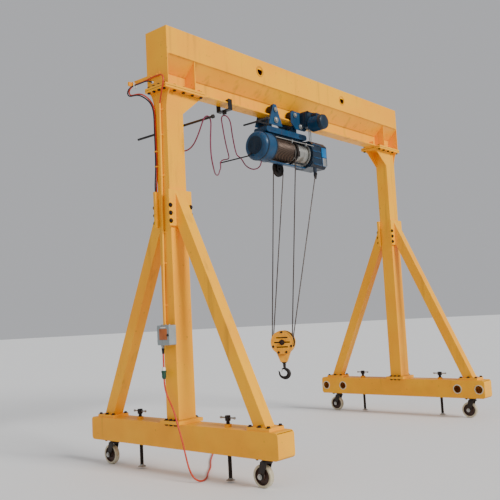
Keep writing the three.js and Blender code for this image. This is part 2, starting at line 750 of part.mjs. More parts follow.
function cableBracket() {
  const face = -girderEnd - GAP;
  const middle = GIRDER_UNDERSIDE + 118;
  const bar = box(face - 6, face, -40, 400, middle - 20, middle + 20);
  const hanger = box(face - 40, face - 4, 380, 400, middle - 20, middle + 20);
  const bolts = [0, 90].map((y) => rod([face - 16, y, middle], [face - 5, y, middle], 12, 6));
  return join(bar, hanger, bolts);
}
place("cable_bracket", cableBracket(), YELLOW);

const clampZ = GIRDER_UNDERSIDE - CARRIER.drop - CARRIER.plate;
function cableCarrier() {
  const x0 = CARRIER.place - CARRIER.length / 2;
  const x1 = CARRIER.place + CARRIER.length / 2;
  const inner = GIRDER.flange / 2 + 6;
  const outer = inner + 8;
  const wheelZ = flangeTop + GAP + CARRIER.wheel;
  const plate = box(x0, x1, -outer, outer, clampZ, clampZ + CARRIER.plate);
  const cheeks = sides.map((t) => box(x0, x1, t * inner, t * outer, clampZ, wheelZ + 14));
  const wheels = sides.map((t) =>
    rod([CARRIER.place, t * 36, wheelZ], [CARRIER.place, t * (GIRDER.flange / 2 - 3), wheelZ], CARRIER.wheel, 14),
  );
  const axles = sides.map((t) =>
    rod([CARRIER.place, t * 38, wheelZ], [CARRIER.place, t * (outer - 1), wheelZ], 6, 8),
  );
  const clamp = box(CARRIER.place - 10, CARRIER.place + 10, -22, 22, clampZ - 30, clampZ + 1);
  return join(plate, cheeks, wheels, axles, clamp);
}
place("cable_carrier", cableCarrier(), BLACK_STEEL);

const festoonOver = ARM.height + ARM.radius + FESTOON.radius + 9;
const festoonTow = TOW_ARM.z + TOW_ARM.radius + FESTOON.radius + 5;
const festoonRoute = [
  [columnInner + GAP + FESTOON.radius, -30, 3118],
  [columnInner + GAP + FESTOON.radius, -110, 3108],
  [armX - 10, -190, 3138],
  [armX - 18, -270, 3215],
  [armX - 28, -345, 3310],
  [armX - 32, -394, ARM.height + 4],
  [armX, -400, festoonOver],
  [armX + 32, -404, ARM.height + 4],
  [armX + 34, -406, 3320],
  [armX + 30, -400, 3200],
  [armX + 32, -392, 3080],
  [armX + 52, -380, 2980],
  [armX + 115, -338, 2918],
  [-1730, -235, 2898],
  [-1500, -45, 2932],
  [-1250, 160, 3008],
  [-1050, 325, 3105],
  [-925, 430, 3178],
  [TOW_ARM.x - 32, 470, 3236],
  [TOW_ARM.x - 24, 484, 3266],
  [TOW_ARM.x, 478, festoonTow + 6],
  [TOW_ARM.x + 6, 440, festoonTow],
  [TOW_ARM.x - 4, 380, festoonTow],
  [TOW_ARM.x - 40, 320, festoonTow],
  [-950, 270, 3285],
  [-1050, 205, 3350],
  [-1150, 140, 3440],
  [-1235, 84, 3545],
  [CARRIER.place - 8, 44, clampZ - 48],
  [CARRIER.place - 20, 4, clampZ - 39],
  [CARRIER.place, -30, clampZ - 48],
  [-1225, -24, 3560],
  [-1150, 26, 3465],
  [-1040, 100, 3360],
  [-940, 165, 3292],
  [TOW_ARM.x - 20, 204, festoonTow],
  [TOW_ARM.x + 12, 207, festoonTow + 3],
  [TOW_ARM.x + 44, 200, 3246],
  [-775, 178, 3170],
  [-716, 118, 3118],
  [-692, 52, 3128],
  [-700, 6, 3160],
  [-700, 0, HOIST.axis - HOIST.radius - 3],
];
place("festoon_cable", cable(festoonRoute, FESTOON.radius, 92), MAUVE_CABLE);

// ---------------------------------------------------------------- trolley
const wheelZ = flangeTop + GAP + WHEEL.radius;
const tieZ = GIRDER_UNDERSIDE - TIE.drop;
const plateOuter = SIDE_PLATE.inner + SIDE_PLATE.thickness;

function trolleyWheel(x, t) {
  const { radius, lip, from, lipFrom, to, axle } = WHEEL;
  const bore = axle + GAP;
  const profile = [
    [bore, from],
    [radius, from],
    [radius, lipFrom],
    [lip, lipFrom + 2],
    [lip, to],
    [bore, to],
    [bore, from],
  ];
  const body = profile.map(([r, y]) => [r, t * y]);
  return turned("y", t > 0 ? body : body.reverse(), [x, 0, wheelZ], 16);
}

function carriage(x, outline, wheelPlaces) {
  const plates = sides.map((t) => {
    const [a, b] = [t * SIDE_PLATE.inner, t * plateOuter].sort((p, q) => p - q);
    return prism("y", outline, a, b);
  });
  const tie = rod([x, -plateOuter - 7, tieZ], [x, plateOuter + 7, tieZ], TIE.radius, 14);
  const axles = wheelPlaces.flatMap((place) =>
    sides.map((t) => rod([place, t * WHEEL.from, wheelZ], [place, t * (plateOuter + 8), wheelZ], WHEEL.axle, 12)),
  );
  return join(plates, tie, axles);
}

const idlePlate = [
  [IDLE.place - IDLE.halfBase, GIRDER_UNDERSIDE - IDLE.below],
  [IDLE.place + IDLE.halfBase, GIRDER_UNDERSIDE - IDLE.below],
  [IDLE.place + 26, GIRDER_UNDERSIDE + IDLE.above],
  [IDLE.place - 26, GIRDER_UNDERSIDE + IDLE.above],
];
const driveWheels = sides.map((s) => DRIVE.place + s * DRIVE.wheelOffset);
const driveLow = GIRDER_UNDERSIDE - DRIVE.below;
const driveHigh = GIRDER_UNDERSIDE + DRIVE.above;
const drivePlate = [
  [DRIVE.place - 90, driveLow],
  [DRIVE.place + 90, driveLow],
  [DRIVE.place + DRIVE.halfLength, driveLow + 70],
  [DRIVE.place + DRIVE.halfLength, driveHigh - 30],
  [DRIVE.place + DRIVE.halfLength - 40, driveHigh],
  [DRIVE.place - DRIVE.halfLength + 40, driveHigh],
  [DRIVE.place - DRIVE.halfLength, driveHigh - 30],
  [DRIVE.place - DRIVE.halfLength, driveLow + 70],
];
place("idle_carriage", carriage(IDLE.place, idlePlate, [IDLE.place]), HOIST_BLUE);
place("drive_carriage", carriage(DRIVE.place, drivePlate, driveWheels), HOIST_BLUE);
const wheelNames = [
  ["front", -1],
  ["back", 1],
];
for (const [name, t] of wheelNames) {
  place(`trolley_wheel_idle_${name}`, trolleyWheel(IDLE.place, t), BLACK_STEEL);
  place(`trolley_wheel_drive_${name}`, trolleyWheel(driveWheels[0], t), BLACK_STEEL);
}

function suspensionBeam() {
  const top = BEAM.bottom + BEAM.height;
  const bar = box(BEAM.from, BEAM.to, -BEAM.halfWidth, BEAM.halfWidth, BEAM.bottom, top);
  const tiePlaces = [IDLE.place, DRIVE.place];
  const lugs = tiePlaces.map((x) => {
    const lug = prism("y", roundedRectangle(x - 36, x + 36, top - 2, tieZ + 32, 16), -BEAM.lug, BEAM.lug);
    return cut(lug, rod([x, -BEAM.lug - 5, tieZ], [x, BEAM.lug + 5, tieZ], TIE.radius + GAP, 14));
  });
  const bolts = tiePlaces.map((x) => {
    const z = BEAM.bottom + BEAM.height / 2;
    return rod([x, -BEAM.halfWidth - 14, z], [x, BEAM.halfWidth + 14, z], 17, 6);
  });
  return join(bar, lugs, bolts);
}
place("suspension_beam", suspensionBeam(), HOIST_BLUE);

// The drive's plain wheel axle is on one side; the second axle carries the gear wheel inside the travel gearbox.
function travelGearbox() {
  const y1 = -plateOuter - 8 - GAP;
  const y0 = y1 - TRAVEL_BOX.depth;
  const outline = roundedRectangle(TRAVEL_BOX.from, TRAVEL_BOX.to, TRAVEL_BOX.bottom, TRAVEL_BOX.top, 30);
  const lid = roundedRectangle(TRAVEL_BOX.from + 18, TRAVEL_BOX.to - 18, TRAVEL_BOX.bottom + 18, TRAVEL_BOX.top - 18, 24);
  return join(prism("y", outline, y0, y1), prism("y", lid, y0 - 8, y0 + 1));
}
place("travel_gearbox", travelGearbox(), HOIST_BLUE);

const motorBack = -plateOuter - 8 - GAP - TRAVEL_BOX.depth - 8 - GAP;
function travelMotor() {
  const { x, z, radius, length } = TRAVEL_MOTOR;
  const profile = [
    [0, motorBack - length],
    [radius - 22, motorBack - length],
    [radius - 6, motorBack - length + 12],
    [radius, motorBack - length + 30],
    [radius, motorBack - 24],
    [radius - 18, motorBack - 18],
    [radius - 18, motorBack],
    [0, motorBack],
  ];
  return turned("y", profile, [x, 0, z], 24);
}
place("travel_motor", travelMotor(), HOIST_BLUE);

// ---------------------------------------------------------------- hoist
// An arc-shaped strip of the drum's shell in (Y, Z): it covers the back and leaves the front open.
function shellOutline(inner, outer) {
  const shape = new THREE.Shape();
  const [start, end] = [(-25 * Math.PI) / 180, (106 * Math.PI) / 180];
  shape.absarc(0, HOIST.axis, outer, start, end);
  shape.absarc(0, HOIST.axis, inner, end, start, true);
  return shape;
}

function hoistBody() {
  const { axis, radius, shell, from, motorEnd, drumEnd } = HOIST;
  const motor = turned(
    "x",
    [
      [0, from],
      [radius - 46, from],
      [radius - 12, from + 14],
      [radius, from + 46],
      [radius, motorEnd],
      [0, motorEnd],
    ],
    [0, 0, axis],
    24,
  );
  const cover = prism("x", shellOutline(radius - shell, radius), motorEnd - 2, drumEnd, 8);
  const ring = turned("x", ringProfile(radius - 30, radius + 4, drumEnd - 14, drumEnd), [0, 0, axis], 24);
  const lowerTie = box(motorEnd - 20, drumEnd - 2, -45, 15, axis - radius, axis - radius + 14);
  const saddles = [IDLE.place, DRIVE.place].map((x) =>
    box(x - 40, x + 40, -50, 50, axis + radius - 40, BEAM.bottom - GAP).subtract(
      turned("x", [[0, x - 45], [radius - 3, x - 45], [radius - 3, x + 45], [0, x + 45]], [0, 0, axis], 28),
    ),
  );
  const cheekOuter = RETURN.y + RETURN.halfThickness + 6;
  const cheekInner = RETURN.y - RETURN.halfThickness - 6;
  const cheekShape = (high) => {
    const shape = new THREE.Shape();
    shape.moveTo(RETURN.x + 44, RETURN.z);
    shape.lineTo(RETURN.x + 44, high);
    shape.lineTo(RETURN.x - 44, high);
    shape.lineTo(RETURN.x - 44, RETURN.z);
    shape.absarc(RETURN.x, RETURN.z, 44, Math.PI, 2 * Math.PI);
    return shape;
  };
  const cheeks = [
    prism("y", cheekShape(axis - 40), cheekOuter, cheekOuter + 7, 6),
    prism("y", cheekShape(RETURN.z + 60), cheekInner - 4, cheekInner, 6),
  ];
  const arm = box(RETURN.x - 44, RETURN.x + 44, cheekOuter, radius - 2, axis - 64, axis - 40);
  const axle = rod([RETURN.x, cheekInner - 3, RETURN.z], [RETURN.x, cheekOuter + 12, RETURN.z], 14, 12);
  const tow = join(
    rod([TOW_ARM.x, TOW_ARM.from, TOW_ARM.z], [TOW_ARM.x, TOW_ARM.to, TOW_ARM.z], TOW_ARM.radius, 10),
    rod([TOW_ARM.x, TOW_ARM.from, TOW_ARM.z], [from + 30, TOW_ARM.from, axis - 60], TOW_ARM.radius + 1, 10),
  );
  return join(motor, cover, ring, lowerTie, saddles, cheeks, arm, axle, tow);
}
place("hoist_body", hoistBody(), HOIST_BLUE);

function ropeDrum() {
  const from = HOIST.motorEnd + DRUM.clearance;
  const to = HOIST.drumEnd - 14 - DRUM.clearance;
  const profile = [
    [0, from],
    [DRUM.lip, from],
    [DRUM.lip, from + DRUM.lipThickness],
    [DRUM.radius, from + DRUM.lipThickness],
    [DRUM.radius, to - DRUM.lipThickness],
    [DRUM.lip, to - DRUM.lipThickness],
    [DRUM.lip, to],
    [DRUM.radius - DRUM.wall, to],
    [DRUM.radius - DRUM.wall, from + DRUM.wall],
    [0, from + DRUM.wall],
  ];
  return turned("x", profile, [0, 0, HOIST.axis], 22);
}
place("rope_drum", ropeDrum(), BLACK_STEEL);

function hoistGearbox() {
  const { halfWidth, below, above, chamfer, cover, coverRadius } = GEARBOX;
  const from = HOIST.drumEnd + GAP;
  const low = HOIST.axis - below;
  const high = HOIST.axis + above;
  const outline = [
    [-halfWidth + chamfer, low],
    [halfWidth - chamfer, low],
    [halfWidth, low + chamfer],
    [halfWidth, high - chamfer],
    [halfWidth - chamfer, high],
    [-halfWidth + chamfer, high],
    [-halfWidth, high - chamfer],
    [-halfWidth, low + chamfer],
  ];
  const housing = prism("x", outline, from, HOIST.to - cover);
  const lid = turned(
    "x",
    [
      [0, HOIST.to - cover - 1],
      [coverRadius, HOIST.to - cover - 1],
      [coverRadius, HOIST.to - 8],
      [coverRadius - 8, HOIST.to],
      [0, HOIST.to],
    ],
    [0, 0, HOIST.axis],
    24,
  );
  const lug = box(ANCHOR.x - 24, ANCHOR.x + 24, ANCHOR.y - 8, ANCHOR.y + 8, ANCHOR.z - 20, low + 40);
  return join(housing, lid, lug);
}
place("hoist_gearbox", hoistGearbox(), HOIST_BLUE);

// A sheave's profile: a hub, a web and a rim with a groove that holds the rope at the pitch radius.
function sheaveProfile(bore, pitch, rim, half) {
  const floor = pitch - ROPE.radius - ROPE.clearance;
  const slot = ROPE.radius + ROPE.clearance;
  return [
    [bore, -half],
    [pitch + rim, -half],
    [pitch + rim, -slot - 2],
    [floor, -slot + 1],
    [floor, slot - 1],
    [pitch + rim, slot + 2],
    [pitch + rim, half],
    [bore, half],
    [bore, -half],
  ];
}
place(
  "return_sheave",
  turned("y", sheaveProfile(14 + GAP, RETURN.pitch, 4, RETURN.halfThickness), [RETURN.x, RETURN.y, RETURN.z], 20),
  BLACK_STEEL,
);

// ---------------------------------------------------------------- hook block
const block = new THREE.Group();
block.position.set(BLOCK.x, 0, BLOCK.z);
block.rotation.z = THREE.MathUtils.degToRad(BLOCK.twist);
crane.add(block);

function blockHousing() {
  const { cover, coverThickness, halfWidth, neck } = BLOCK;
  const covers = sides.map((s) => {
    const [a, b] = [s * halfWidth, s * (halfWidth - coverThickness)].sort((p, q) => p - q);
    return rod([a, 0, 0], [b, 0, 0], cover, 28);
  });
  const slots = [
    [52, 66],
    [0, 92],
    [-52, 66],
  ].map(([z, half]) => box(-halfWidth - 5, halfWidth + 5, -half, half, z - 7, z + 7));
  const boss = rod([-halfWidth - 3, 0, 0], [halfWidth + 3, 0, 0], 26, 16).subtract(
    rod([-halfWidth + coverThickness, 0, 0], [halfWidth - coverThickness, 0, 0], 40, 16),
  );
  const axle = rod([-halfWidth + 1, 0, 0], [halfWidth - 1, 0, 0], SHEAVE.axle, 14);
  const guard = new THREE.Shape();
  const [start, end] = [(205 * Math.PI) / 180, (335 * Math.PI) / 180];
  guard.absarc(0, 0, cover + 3, start, end);
  guard.absarc(0, 0, SHEAVE.pitch + SHEAVE.rim + 2, end, start, true);
  const wrap = prism("x", guard, -halfWidth, halfWidth, 8);
  const neckBody = cut(
    prism(
      "x",
      [
        [-34, -neck],
        [34, -neck],
        [78, -cover + 22],
        [-78, -cover + 22],
      ],
      -34,
      34,
    ),
    rod([-60, 0, 0], [60, 0, 0], SHEAVE.pitch + SHEAVE.rim + 2, 24),
    rod([0, 0, -neck - 5], [0, 0, -neck + 40], HOOK.shank + 3 * GAP, 14),
  );
  return join(cut(join(covers), slots), boss, axle, wrap, neckBody);
}
place("block_housing", blockHousing(), BLOCK_ORANGE, block);
for (const [name, s] of [
  ["near", -1],
  ["far", 1],
]) {
  const profile = sheaveProfile(SHEAVE.axle + GAP, SHEAVE.pitch, SHEAVE.rim, SHEAVE.halfThickness);
  place(`block_sheave_${name}`, turned("x", profile, [s * SHEAVE.offset, 0, 0], 20), BLACK_STEEL, block);
}

function hook() {
  const { eyeDrop, bend, mouth, radius, shank } = HOOK;
  const shaft = rod([0, 0, -BLOCK.neck + 34], [0, 0, -eyeDrop + bend + 2], shank, 14);
  const collar = rod([0, 0, -BLOCK.neck - GAP - 14], [0, 0, -BLOCK.neck - GAP], shank + 10, 14);
  const bow = [];
  for (let i = 0; i <= 13; i++) {
    const angle = THREE.MathUtils.degToRad(92 - (i * 272) / 13);
    const reach = angle < -Math.PI / 2 ? mouth : bend;
    bow.push([0, -reach * Math.cos(angle), -eyeDrop + bend * Math.sin(angle)]);
  }
  bow.push([0, mouth + 3, -eyeDrop + 20]);
  const lugs = sides.map((t) => {
    const [a, b] = [t * (LATCH.halfWidth + 1), t * (LATCH.halfWidth + 5)].sort((p, q) => p - q);
    return box(a, b, 8, LATCH.pivotY + 6, LATCH.pivotZ - 7, LATCH.pivotZ + 7);
  });
  return join(shaft, collar, tubeAt(bow, radius, 10), lugs);
}
place("hook", hook(), BLACK_STEEL, block);

function hookLatch() {
  const { pivotY, pivotZ, tipY, tipZ, halfWidth, thickness } = LATCH;
  const outline = [
    [pivotY - thickness / 2, pivotZ],
    [tipY - thickness, tipZ],
    [tipY, tipZ],
    [pivotY + thickness, pivotZ + 3],
  ];
  return prism("x", outline, -halfWidth, halfWidth);
}
place("hook_latch", hookLatch(), BRIGHT_STEEL, block);

// ---------------------------------------------------------------- hoist rope: one rope in four falls
function hoistRope() {
  const lead = 60;
  const turn = THREE.MathUtils.degToRad(BLOCK.twist);
  const onBlock = (x, y, z) => [
    BLOCK.x + x * Math.cos(turn) - y * Math.sin(turn),
    x * Math.sin(turn) + y * Math.cos(turn),
    BLOCK.z + z,
  ];
  // Down one side of a block sheave, round under it and up the other side.
  const underSheave = (x, from) => {
    const points = [onBlock(x, from * SHEAVE.pitch, lead)];
    for (let i = 0; i <= 10; i++) {
      const angle = (i * Math.PI) / 10;
      points.push(onBlock(x, from * SHEAVE.pitch * Math.cos(angle), -SHEAVE.pitch * Math.sin(angle)));
    }
    points.push(onBlock(x, -from * SHEAVE.pitch, lead));
    return points;
  };
  const over = [[RETURN.x + RETURN.pitch, RETURN.y, RETURN.z - lead]];
  for (let i = 0; i <= 10; i++) {
    const angle = (i * Math.PI) / 10;
    over.push([RETURN.x + RETURN.pitch * Math.cos(angle), RETURN.y, RETURN.z + RETURN.pitch * Math.sin(angle)]);
  }
  over.push([RETURN.x - RETURN.pitch, RETURN.y, RETURN.z - lead]);
  const drumSide = -(DRUM.radius + ROPE.radius + 2);
  return tubeAt(
    [
      [ANCHOR.x, ANCHOR.y, ANCHOR.z - 23],
      [ANCHOR.x - 12, ANCHOR.y, ANCHOR.z - 60],
      ...underSheave(SHEAVE.offset, -1),
      ...over,
      ...underSheave(-SHEAVE.offset, 1),
      [-232, drumSide, HOIST.axis - 160],
      [-226, drumSide, HOIST.axis],
    ],
    ROPE.radius,
  );
}
place("hoist_rope", hoistRope(), BRIGHT_STEEL);

export default crane;
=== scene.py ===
"""Portable gantry crane: finishes, cables, ropes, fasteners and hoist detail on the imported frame.

Metres, +Z up. The origin is on the floor, midway between the legs; +X runs along the girder.
"""

import json
import logging
import math
from dataclasses import dataclass
from enum import Enum
from typing import Iterable, Sequence

import bmesh
import bpy
from mathutils import Matrix, Vector

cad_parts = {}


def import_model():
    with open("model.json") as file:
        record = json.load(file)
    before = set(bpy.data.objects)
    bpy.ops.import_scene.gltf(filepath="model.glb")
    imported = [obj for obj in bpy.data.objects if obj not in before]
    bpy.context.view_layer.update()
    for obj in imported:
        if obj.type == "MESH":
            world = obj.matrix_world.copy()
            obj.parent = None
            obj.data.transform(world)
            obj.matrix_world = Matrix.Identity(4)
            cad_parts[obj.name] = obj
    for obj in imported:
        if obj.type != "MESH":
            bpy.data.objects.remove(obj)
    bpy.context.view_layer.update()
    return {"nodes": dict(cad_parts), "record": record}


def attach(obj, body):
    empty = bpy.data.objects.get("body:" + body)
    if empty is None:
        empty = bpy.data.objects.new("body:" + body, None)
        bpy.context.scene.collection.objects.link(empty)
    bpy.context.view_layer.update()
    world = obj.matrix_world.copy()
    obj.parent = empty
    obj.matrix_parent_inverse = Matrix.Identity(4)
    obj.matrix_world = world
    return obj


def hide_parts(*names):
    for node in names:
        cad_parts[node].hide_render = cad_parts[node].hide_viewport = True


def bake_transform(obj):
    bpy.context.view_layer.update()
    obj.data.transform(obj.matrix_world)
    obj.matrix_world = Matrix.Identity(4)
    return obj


LOG = logging.getLogger("gantry_crane")
Point = Sequence[float]
SIDES = (-1, 1)
LEGS = (("near", -1), ("far", 1))
CORNERS = (("front", -1), ("back", 1))


class Axis(Enum):
    """The axis that a turned part or a bolt stands on."""

    X = (1.0, 0.0, 0.0)
    Y = (0.0, 1.0, 0.0)
    Z = (0.0, 0.0, 1.0)


def linear(hex_colour: str) -> tuple[float, float, float, float]:
    """Turns a display colour into linear light.

    Args:
        hex_colour: six hexadecimal digits, red first.

    Returns:
        Red, green, blue and alpha in linear light.
    """
    parts = [int(hex_colour[i : i + 2], 16) / 255 for i in (0, 2, 4)]
    light = [p / 12.92 if p <= 0.04045 else ((p + 0.055) / 1.055) ** 2.4 for p in parts]
    return (light[0], light[1], light[2], 1.0)


def mm(points: Iterable[Point]) -> list[Vector]:
    """Millimetre points as metre vectors."""
    return [Vector(p) / 1000 for p in points]


def arc(centre: Point, start: Vector, turn: Vector, degrees: float, steps: int) -> list[Vector]:
    """Points on an arc.

    Args:
        centre: the arc's centre.
        start: from the centre to the first point.
        turn: the direction in which the arc sets off, as long as start.
        degrees: how far it goes round.
        steps: the number of chords.

    Returns:
        steps + 1 points.
    """
    angles = [math.radians(degrees) * i / steps for i in range(steps + 1)]
    return [Vector(centre) + start * math.cos(a) + turn * math.sin(a) for a in angles]


def circle(centre: Vector, across: Vector, up: Vector, radius: float, count: int) -> list[Vector]:
    """Evenly spaced points round a centre, in the plane of two unit vectors."""
    turns = [2 * math.pi * k / count for k in range(count)]
    return [centre + (across * math.cos(t) + up * math.sin(t)) * radius for t in turns]


def hoop(inner: float, outer: float, start: float, end: float) -> list[Point]:
    """The square section of a ring, between two radii and two distances."""
    return [(inner, start), (outer, start), (outer, end), (inner, end)]


def mirrored(half: Sequence[Point], middle: Point) -> list[Point]:
    """A section whose two halves match, either side of its middle corner."""
    return [*half, middle, *((radius, -distance) for radius, distance in reversed(half))]


def smooth_route(points: Sequence[Vector], steps: int) -> list[Vector]:
    """A centripetal curve through points, at even spacing.

    Args:
        points: what the curve passes through.
        steps: the number of chords.

    Returns:
        steps + 1 points an equal length apart.
    """
    padded = [points[0] * 2 - points[1], *points, points[-1] * 2 - points[-2]]
    dense: list[Vector] = []
    for p0, p1, p2, p3 in zip(padded, padded[1:], padded[2:], padded[3:]):
        d0, d1, d2 = (max((b - a).length, 1e-6) ** 0.5 for a, b in ((p0, p1), (p1, p2), (p2, p3)))
        t1 = ((p1 - p0) / d0 - (p2 - p0) / (d0 + d1) + (p2 - p1) / d1) * d1
        t2 = ((p2 - p1) / d1 - (p3 - p1) / (d1 + d2) + (p3 - p2) / d2) * d1
        for i in range(24):
            t = i / 24
            dense.append(
                p1 + t1 * t + (3 * (p2 - p1) - 2 * t1 - t2) * t**2 + (2 * (p1 - p2) + t1 + t2) * t**3
            )
    dense.append(points[-1].copy())
    lengths = [0.0]
    for a, b in zip(dense, dense[1:]):
        lengths.append(lengths[-1] + (b - a).length)
    even, i = [], 0
    for k in range(steps + 1):
        goal = lengths[-1] * k / steps
        while i < len(dense) - 2 and lengths[i + 1] < goal:
            i += 1
        share = (goal - lengths[i]) / max(lengths[i + 1] - lengths[i], 1e-9)
        even.append(dense[i].lerp(dense[i + 1], min(max(share, 0.0), 1.0)))
    return even


def relaxed(route: Sequence[Vector], rounds: int) -> list[Vector]:
    """Eases the bends of a route, whose ends stay.

    Args:
        route: evenly spaced points.
        rounds: how many times each point moves halfway to its neighbours' middle.

    Returns:
        The eased route.
    """
    eased = list(route)
    for _ in range(rounds):
        inner = [b * 0.5 + (a + c) * 0.25 for a, b, c in zip(eased, eased[1:], eased[2:])]
        eased = [eased[0], *inner, eased[-1]]
    return eased


def route_length(points: Sequence[Vector]) -> float:
    """The length along a route, in metres."""
    return sum((b - a).length for a, b in zip(points, points[1:]))


class NodeSheet:
    """Adds and joins the nodes of one shader tree."""

    def __init__(self, tree: bpy.types.NodeTree) -> None:
        """Keeps the tree that the nodes go into."""
        self.tree = tree

    def add(self, kind: str, values: dict[str, object] | None = None, **settings: object) -> bpy.types.Node:
        """Adds a node.

        Args:
            kind: the node's type, without its ShaderNode prefix.
            values: what its input sockets hold, or the sockets that feed them.
            settings: its other properties.

        Returns:
            The new node.
        """
        node = self.tree.nodes.new("ShaderNode" + kind)
        for name, setting in settings.items():
            setattr(node, name, setting)
        for name, value in (values or {}).items():
            self.feed(node.inputs[name], value)
        return node

    def feed(self, socket: bpy.types.NodeSocket, value: object) -> None:
        """Links a socket to another, or sets its value."""
        if isinstance(value, bpy.types.NodeSocket):
            self.tree.links.new(value, socket)
        else:
            socket.default_value = value

    def maths(self, operation: str, a: object, b: object = 0.0) -> bpy.types.NodeSocket:
        """One sum of two values.

        Args:
            operation: the sum's name in Blender.
            a: the first value or socket.
            b: the second value or socket.

        Returns:
            The socket with the result.
        """
        node = self.add("Math", operation=operation, use_clamp=operation == "MULTIPLY")
        self.feed(node.inputs[0], a)
        self.feed(node.inputs[1], b)
        return node.outputs[0]

    def band(
        self, value: object, low: float, high: float, start: float = 0.0, end: float = 1.0
    ) -> bpy.types.NodeSocket:
        """Spreads a stretch of a value over another stretch."""
        values = {"Value": value, "From Min": low, "From Max": high, "To Min": start, "To Max": end}
        return self.add("MapRange", values, interpolation_type="SMOOTHSTEP").outputs[0]

    def blend(self, share: object, a: object, b: object) -> bpy.types.NodeSocket:
        """Mixes two colours.

        Args:
            share: how much of the second colour shows.
            a: the first colour or socket.
            b: the second colour or socket.

        Returns:
            The mixed colour's socket.
        """
        node = self.add("Mix", data_type="RGBA")
        for index, value in ((0, share), (6, a), (7, b)):
            self.feed(node.inputs[index], value)
        return node.outputs[2]

    def noise(self, where: object, scale: float, detail: float = 4.0) -> bpy.types.NodeSocket:
        """Cloudy noise from 0 to 1."""
        return self.add("TexNoise", {"Vector": where, "Scale": scale, "Detail": detail}).outputs[0]

    def stretched(self, where: object, scale: Point) -> bpy.types.NodeSocket:
        """Coordinates scaled along each axis."""
        return self.add("Mapping", {"Vector": where, "Scale": tuple(scale)}).outputs[0]


class Effect:
    """A shader group that more than one finish uses, built once."""

    name = ""
    inputs: tuple[tuple[str, str], ...] = ()

    @classmethod
    def group(cls) -> bpy.types.NodeTree:
        """Finds the group, or builds it the first time.

        Returns:
            The group's tree.
        """
        found = bpy.data.node_groups.get(cls.name)
        if found:
            return found
        tree = bpy.data.node_groups.new(cls.name, "ShaderNodeTree")
        for name, kind in cls.inputs:
            tree.interface.new_socket(name=name, in_out="INPUT", socket_type="NodeSocket" + kind)
        for name, kind in (("Colour", "Color"), ("Roughness", "Float"), ("Height", "Float")):
            tree.interface.new_socket(name=name, in_out="OUTPUT", socket_type="NodeSocket" + kind)
        sheet = NodeSheet(tree)
        entry = tree.nodes.new("NodeGroupInput").outputs
        results = cls.paint(sheet, entry)
        leave = tree.nodes.new("NodeGroupOutput").inputs
        for socket, value in zip(leave, results):
            sheet.feed(socket, value)
        return tree

    @classmethod
    def paint(cls, sheet: NodeSheet, entry: bpy.types.NodeOutputs) -> tuple[object, object, object]:
        """Builds the group's nodes.

        Args:
            sheet: the group's tree.
            entry: the group's inputs.

        Returns:
            The colour, roughness and height sockets.
        """
        raise NotImplementedError


class Weathering(Effect):
    """Sprayed or moulded surfaces: cloudy tone, rain runs, floor dust and a faint orange peel."""

    name = "weathering"
    inputs = (
        ("Colour", "Color"),
        ("Shade", "Color"),
        ("Dirt", "Color"),
        ("Gloss", "Float"),
        ("Grime", "Float"),
        ("Scale", "Float"),
    )

    @classmethod
    def paint(cls, sheet: NodeSheet, entry: bpy.types.NodeOutputs) -> tuple[object, object, object]:
        """Cloudy tone first, then runs, then dust near the floor.

        Args:
            sheet: the group's tree.
            entry: the group's inputs.

        Returns:
            The colour, roughness and height sockets.
        """
        where = sheet.add("TexCoord").outputs["Object"]
        sized = sheet.add("VectorMath", {"Scale": entry["Scale"]}, operation="SCALE")
        sheet.feed(sized.inputs[0], where)
        sized = sized.outputs[0]
        cloud = sheet.band(sheet.noise(sized, 1.7, 6.0), 0.34, 0.68)
        tone = sheet.blend(cloud, entry["Colour"], entry["Shade"])
        runs = sheet.band(sheet.noise(sheet.stretched(sized, (11.0, 11.0, 0.9)), 1.0, 8.0), 0.54, 0.78)
        height = sheet.add("SeparateXYZ", {"Vector": where}).outputs[2]
        low_down = sheet.band(height, 0.05, 0.75, 1.0, 0.0)
        dust = sheet.maths("MULTIPLY", low_down, sheet.noise(sized, 7.0, 8.0))
        specks = sheet.band(sheet.noise(sized, 23.0, 6.0), 0.66, 0.74)
        soil = sheet.maths("MAXIMUM", runs, sheet.maths("MAXIMUM", dust, specks))
        soil = sheet.maths("MULTIPLY", soil, entry["Grime"])
        colour = sheet.blend(soil, tone, entry["Dirt"])
        rough = sheet.maths("ADD", entry["Gloss"], sheet.maths("MULTIPLY", soil, 0.4))
        rough = sheet.maths("ADD", rough, sheet.band(cloud, 0.0, 1.0, -0.03, 0.07))
        return colour, rough, sheet.noise(where, 170.0, 2.0)


class Machining(Effect):
    """Bare and oiled steel: tool marks, dark patches and rust freckles."""

    name = "machining"
    inputs = (("Colour", "Color"), ("Stain", "Color"), ("Gloss", "Float"), ("Wear", "Float"))

    @classmethod
    def paint(cls, sheet: NodeSheet, entry: bpy.types.NodeOutputs) -> tuple[object, object, object]:
        """Fine scratches over cloudy staining.

        Args:
            sheet: the group's tree.
            entry: the group's inputs.

        Returns:
            The colour, roughness and height sockets.
        """
        where = sheet.add("TexCoord").outputs["Object"]
        patches = sheet.band(sheet.noise(where, 16.0, 8.0), 0.42, 0.66)
        stain = sheet.maths("MULTIPLY", patches, entry["Wear"])
        marks = sheet.noise(sheet.stretched(where, (30.0, 30.0, 420.0)), 1.0, 3.0)
        colour = sheet.blend(stain, entry["Colour"], entry["Stain"])
        rough = sheet.maths("ADD", entry["Gloss"], sheet.maths("MULTIPLY", stain, 0.3))
        rough = sheet.maths("ADD", rough, sheet.band(marks, 0.3, 0.7, -0.05, 0.06))
        return colour, rough, marks


